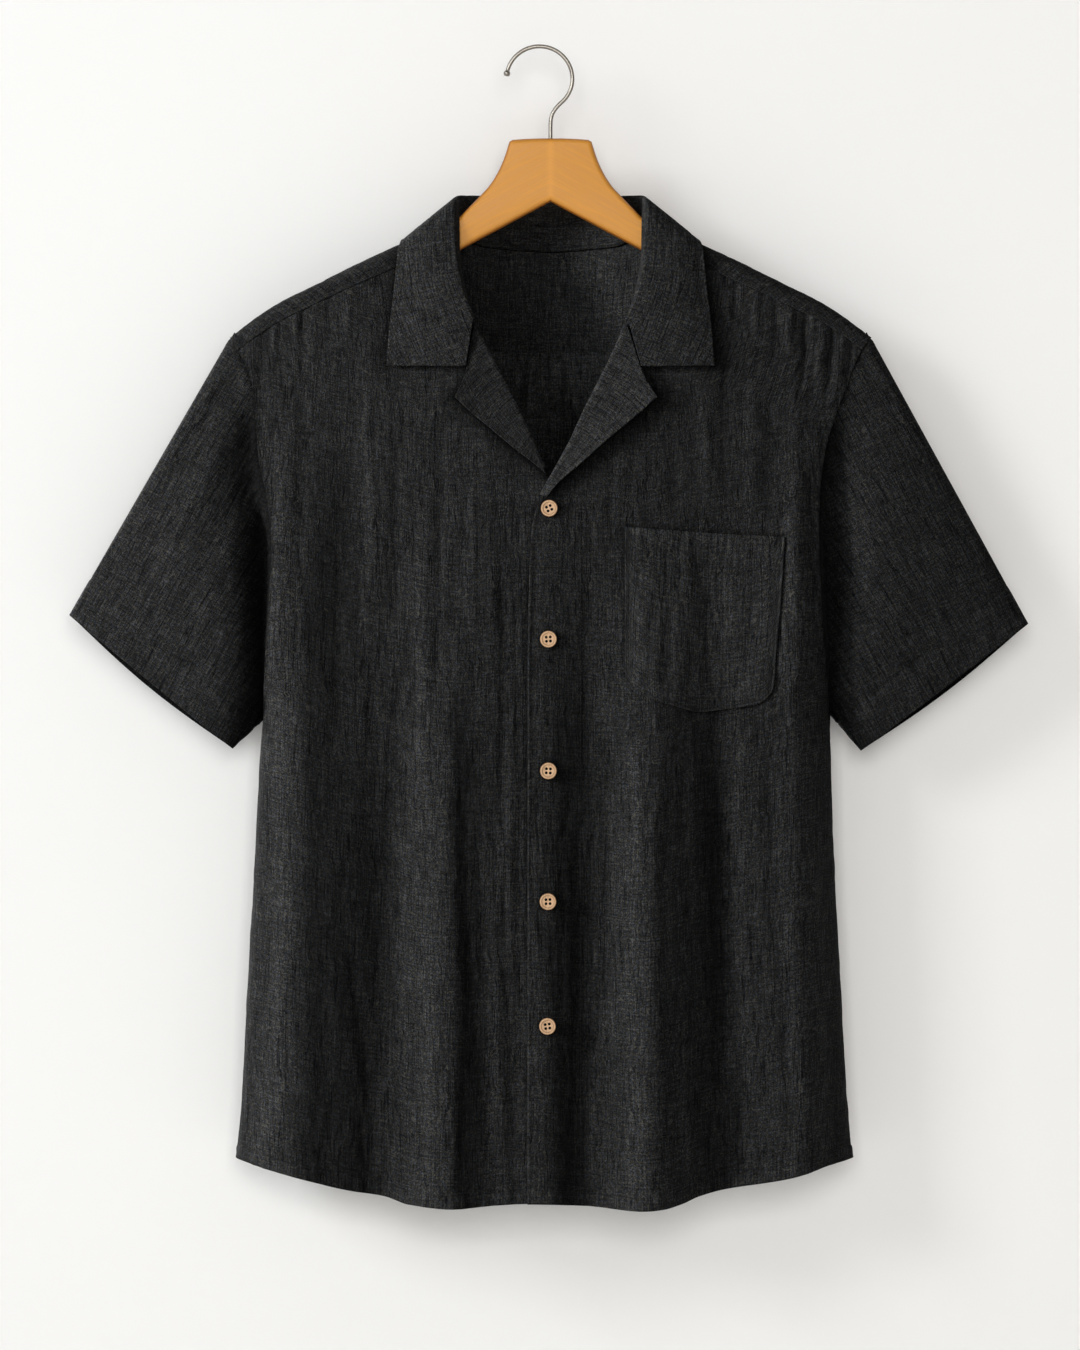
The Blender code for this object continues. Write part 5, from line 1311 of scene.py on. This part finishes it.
def thread_material():
    s = Shader("dark_thread")
    twist = s.noise(s.place(), (2500.0, 2500.0, 2500.0), 1.0)
    colour = s.ramp(twist, (0.3, 0.004), (0.7, 0.0125))
    return s.finish({"Base Color": colour, "Roughness": 0.85, "Specular IOR Level": 0.1})


def wood(name, light, dark, edge, scale, slope=None):
    """Fibres stretched by the scale, and a darker colour on the faces that turn from the front: painted
    shade.
    """
    s = Shader(name)
    spot = s.place()
    if slope is not None:       # the grain follows each arm, and the halves meet in the middle
        parts = s.node("SeparateXYZ", Vector=spot).outputs
        aside = s.maths("ABSOLUTE", s.maths("SUBTRACT", parts["X"], CENTRE_TOP * MM))
        cos, sin = math.cos(math.atan(slope)), math.sin(math.atan(slope))
        along, up = (s.total((aside, a), (parts["Z"], b)) for a, b in ((cos, -sin), (sin, cos)))
        spot = s.node("CombineXYZ", X=along, Y=parts["Y"], Z=up).outputs["Vector"]
    fibres = s.noise(spot, scale, 4.0)
    broad = s.noise(spot, tuple(c * 0.14 for c in scale), 2.0, 5.0)
    bright = tuple(min(1.0, c * 1.12) for c in light)
    colour = s.ramp(s.total((fibres, 0.8), (broad, 0.2)), (0.32, dark), (0.5, light), (0.68, bright))
    if slope is not None:
        joint = s.ramp(aside, (0.0004, 0.45), (0.0011, 0.0))
        colour = s.mix(colour, tuple(min(1.0, 1.25 * c) for c in light), joint, "MIX")
    # painted shade: faces that turn from the front take the darker edge colour
    facing = s.node("SeparateXYZ", Vector=s.node("NewGeometry").outputs["Normal"]).outputs["Y"]
    colour = s.mix(colour, edge, s.ramp(s.maths("ABSOLUTE", facing), (0.45, 1.0), (0.93, 0.0)), "MIX")
    rough = s.ramp(fibres, (0.3, 0.42), (0.7, 0.55))
    return s.finish({"Base Color": colour, "Roughness": rough}, (fibres, 0.25, 0.0002))


def nickel():
    s = Shader("brushed_nickel")
    brushed = s.noise(s.place(), (900.0, 900.0, 900.0), 3.0)
    colour = s.ramp(brushed, (0.3, (0.25, 0.228, 0.2)), (0.7, (0.4, 0.37, 0.33)))
    rough = s.ramp(brushed, (0.3, 0.24), (0.7, 0.38))
    return s.finish({"Base Color": colour, "Roughness": rough, "Metallic": 1.0})


# ---------------------------------------------------------------- stage, light, camera
def plain(name, colour, roughness, one_sided=False):
    """Matt paint; one-sided paint can be seen through from behind."""
    s = Shader(name)
    soft = s.noise(s.place(), (2.0, 2.0, 2.0), 2.0)
    shades = s.ramp(soft, (0.3, tuple(c * 0.985 for c in colour)), (0.7, colour))
    if one_sided:
        clear = s.node("BsdfTransparent")
        behind = s.node("NewGeometry").outputs["Backfacing"]
        mixed = s.node("MixShader")
        s.put(mixed, {0: behind, 1: s.surface.outputs[0], 2: clear.outputs[0]})
        s.put(s.nodes["Material Output"], {"Surface": mixed.outputs[0]})
    return s.finish({"Base Color": shades, "Roughness": roughness, "Specular IOR Level": 0.0})


def add_plane(name, corners, material):
    mesh = bpy.data.meshes.new(name)
    mesh.from_pydata(corners, [], [(0, 1, 2, 3)])
    mesh.materials.append(material)
    obj = new_object(name, mesh)
    obj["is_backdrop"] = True
    return obj


def add_light(name, place, size, energy, colour, lit):
    """A soft box that faces the shirt; lit is the collection that it lights, or None for all."""
    light = bpy.data.lights.new(name, "AREA")
    light.shape = "RECTANGLE"
    light.size, light.size_y = size
    light.energy, light.color = energy, colour
    obj = new_object(name, light)
    obj.location = place
    obj.rotation_euler = (Vector(SHIRT_MIDDLE) - Vector(place)).to_track_quat("-Z", "Y").to_euler()
    if lit is not None:
        obj.light_linking.receiver_collection = lit


def gather(name, objects):
    group = bpy.data.collections.new(name)
    for obj in objects:
        group.objects.link(obj)
    return group


def add_studio():
    wall = plain("pale_wall", (0.9, 0.895, 0.885), 0.95, True)
    floor = plain("pale_floor", (0.9, 0.89, 0.875), 0.9)
    x, y, z, top = STAGE_HALF, WALL_Y, FLOOR_Z, WALL_TOP
    stage = gather("studio_set", (
        add_plane("backdrop", [(-x, y, z), (x, y, z), (x, y, top), (-x, y, top)], wall),
        add_plane("floor", [(-x, -x, z), (x, -x, z), (x, x, z), (-x, x, z)], floor),
    ))
    for obj in stage.objects:
        obj.visible_shadow = False          # so the lamp behind reaches the shirt's back
    made = [obj for obj in bpy.context.scene.objects if obj.type == "MESH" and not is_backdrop(obj)]
    shirt, hard = (
        gather(name, [obj for obj in made if any(word in obj.name for word in words)])
        for name, words in (("shirt_set", ("cloth", "stitches")), ("hard_set", ("wood", "turned", "wire")))
    )
    world = bpy.data.worlds.new("studio")
    bpy.context.scene.world = world
    world.use_nodes = True
    background = world.node_tree.nodes["Background"]
    background.inputs["Color"].default_value = (1.0, 0.995, 0.985, 1.0)
    background.inputs["Strength"].default_value = 0.22
    white, warm = (1.0, 1.0, 1.0), (1.0, 0.98, 0.95)
    for row in (               # name, place, size, power in W, colour, what it lights
        ("wall_wash", (0.0, -5.2, 0.15), (1.8, 1.8), 128.0, (1.0, 0.975, 0.945), stage),
        ("key", (-3.4, -3.0, 1.3), (1.5, 1.5), 76.0, (0.9, 0.96, 1.0), None),
        ("raking", (-3.0, -1.3, 0.2), (0.5, 1.4), 205.0, white, shirt),
        ("front", (-0.5, -4.0, 0.5), (1.5, 1.5), 55.0, warm, hard),
        ("soft_front", (0.3, -4.0, 0.1), (1.5, 1.5), 16.0, white, shirt),
        ("behind", (-1.9, 2.6, 0.6), (1.0, 1.4), 150.0, white, shirt),
    ):
        add_light(*row)


def add_camera():
    data = bpy.data.cameras.new("camera")
    data.sensor_fit, data.sensor_width = "AUTO", SENSOR
    data.lens = SENSOR * CAMERA_DISTANCE / FRAME_HEIGHT
    data.clip_start, data.clip_end = 0.1, 50.0
    camera = new_object("camera", data)
    camera.location = (CAMERA_X * MM, -CAMERA_DISTANCE * MM, CAMERA_Z * MM)
    camera.rotation_euler = (math.radians(90.0), 0.0, 0.0)
    bpy.context.scene.camera = camera


# ---------------------------------------------------------------- painted shade, all together
def armhole_band(side, low, high):
    z = np.linspace(low, high, 200)
    return np.stack((side_x(z, side), 0.0 * z, z), -1)


def darken_edges():
    """Painted shade: soft dark bands under each overlapping edge, along seams and deep in the sleeves'
    valleys.
    """
    left, right, leaf, pocket, button_side = (
        PIECES[name][1] for name in ("lapel_left", "lapel_right", "collar", "pocket", "front_right")
    )
    button_edge = button_side[:, 0][button_side[:, 0, 2] < -350.0]
    seams = {side: armhole_band(side, UNDERARM_Z, -232.0) for side in (-1, 1)}
    # painted shadow under the collar's edge and ends
    over = [(leaf[-1], 0.5, 3.2), (leaf[-1], 0.34, 13.0), (leaf[30:, 0], 0.4, 3.0), (leaf[30:, -1], 0.4, 3.0)]
    darken("front_left", over + [
        (left[:, -1], 0.8, 3.0), (left[:, -1], 0.45, 9.0), (left[-1], 0.6, 3.4),
        (button_edge, 0.35, 1.5), (seams[-1], 0.3, 2.0),
    ])
    # painted shadow in a ring round each button
    turn = np.linspace(0.0, 2.0 * math.pi, 40)
    round_x, round_z = BUTTON_SHADOW_RADIUS * np.cos(turn), BUTTON_SHADOW_RADIUS * np.sin(turn)
    button_shadows = [np.stack((x + round_x, 0.0 * turn, z + round_z), -1) for x, z, _ in BUTTONS]
    darken("front_right", over + [
        (right[:, -1], 0.6, 2.6), (right[:, -1], 0.42, 12.0), (right[-1], 0.4, 3.0),
        (pocket[:, 0], 0.5, 1.8), (pocket[:, -1], 0.55, 2.2), (pocket[0], 0.45, 1.8), (pocket[-1], 0.55, 2.2),
        (seams[1], 0.45, 2.0),
    ] + [(button_shadow, 0.55, 1.6) for button_shadow in button_shadows])
    in_front = leaf[-1][leaf[-1][:, 1] < 2.0]
    darken("yoke", [(in_front, 0.5, 3.2), (in_front, 0.34, 13.0)], only_in_front=True)
    # the left lapel painted darker and the right one lighter all over, painted shade and painted light, with
    # painted shadow under the collar
    darken("lapel_left", [(leaf[:, 0], 0.4, 2.0)], 0.76)
    darken("lapel_right", [(leaf[:, -1], 0.4, 2.0), (leaf[-1], 0.3, 3.0)], 1.3)
    # painted shade deep in each sleeve's valley beside the body, and along its armhole seam
    for name, side, share, width in (("sleeve_left", -1, 0.72, 30.0), ("sleeve_right", 1, 0.62, 15.0)):
        valley = armhole_band(side, UNDERARM_Z - 40.0, -300.0)
        darken(name, [(seams[side], 0.45, 2.2), (valley, share, width)])


def main():
    # copies of the one gauze: lighter on the collar and lapels and inside the yoke and back, darker inside
    # the sleeves; painted light and painted shade
    cloth, collar_cloth, yoke_inside, back_inside, sleeve_inside = (
        gauze("charcoal_gauze" + end, tone)
        for end, tone in (("", 1.0), ("_collar", 1.2), ("_yoke_inside", 1.25), ("_back_inside", 2.0),
                          ("_sleeve_inside", 0.3))
    )
    thread = thread_material()
    add_front("front_left", -1, UNDER_FRONT_EDGE, UNDER_FRONT_DROP, cloth)
    add_front("front_right", 1, UPPER_FRONT_EDGE, 0.0, cloth)
    add_back(cloth, back_inside)
    add_yoke(cloth, yoke_inside)
    for name, sleeve in SLEEVES.items():
        add_sleeve(name, sleeve, cloth, sleeve_inside)
    add_lapel("lapel_left", -1, UNDER_FRONT_EDGE, UNDER_LAPEL_EDGE, UNDER_LAPEL_FOOT, UNDER_TIP_LIFT,
              UNDER_LAPEL_BEHIND, collar_cloth)
    add_lapel("lapel_right", 1, UPPER_FRONT_EDGE, UPPER_LAPEL_EDGE, UPPER_LAPEL_FOOT, UPPER_TIP_LIFT, 0.0,
              collar_cloth)
    add_collar(collar_cloth)
    add_pocket(cloth)
    add_buttons(wood("pale_wood", *PALE_WOOD), thread)
    add_hanger(wood("honey_wood", *HONEY_WOOD, HANGER_UNDER_SLOPE))
    add_hook(nickel())
    add_stitches(thread)
    darken_edges()
    bpy.context.scene.view_settings.view_transform = "Standard"
    add_studio()
    add_camera()


main()
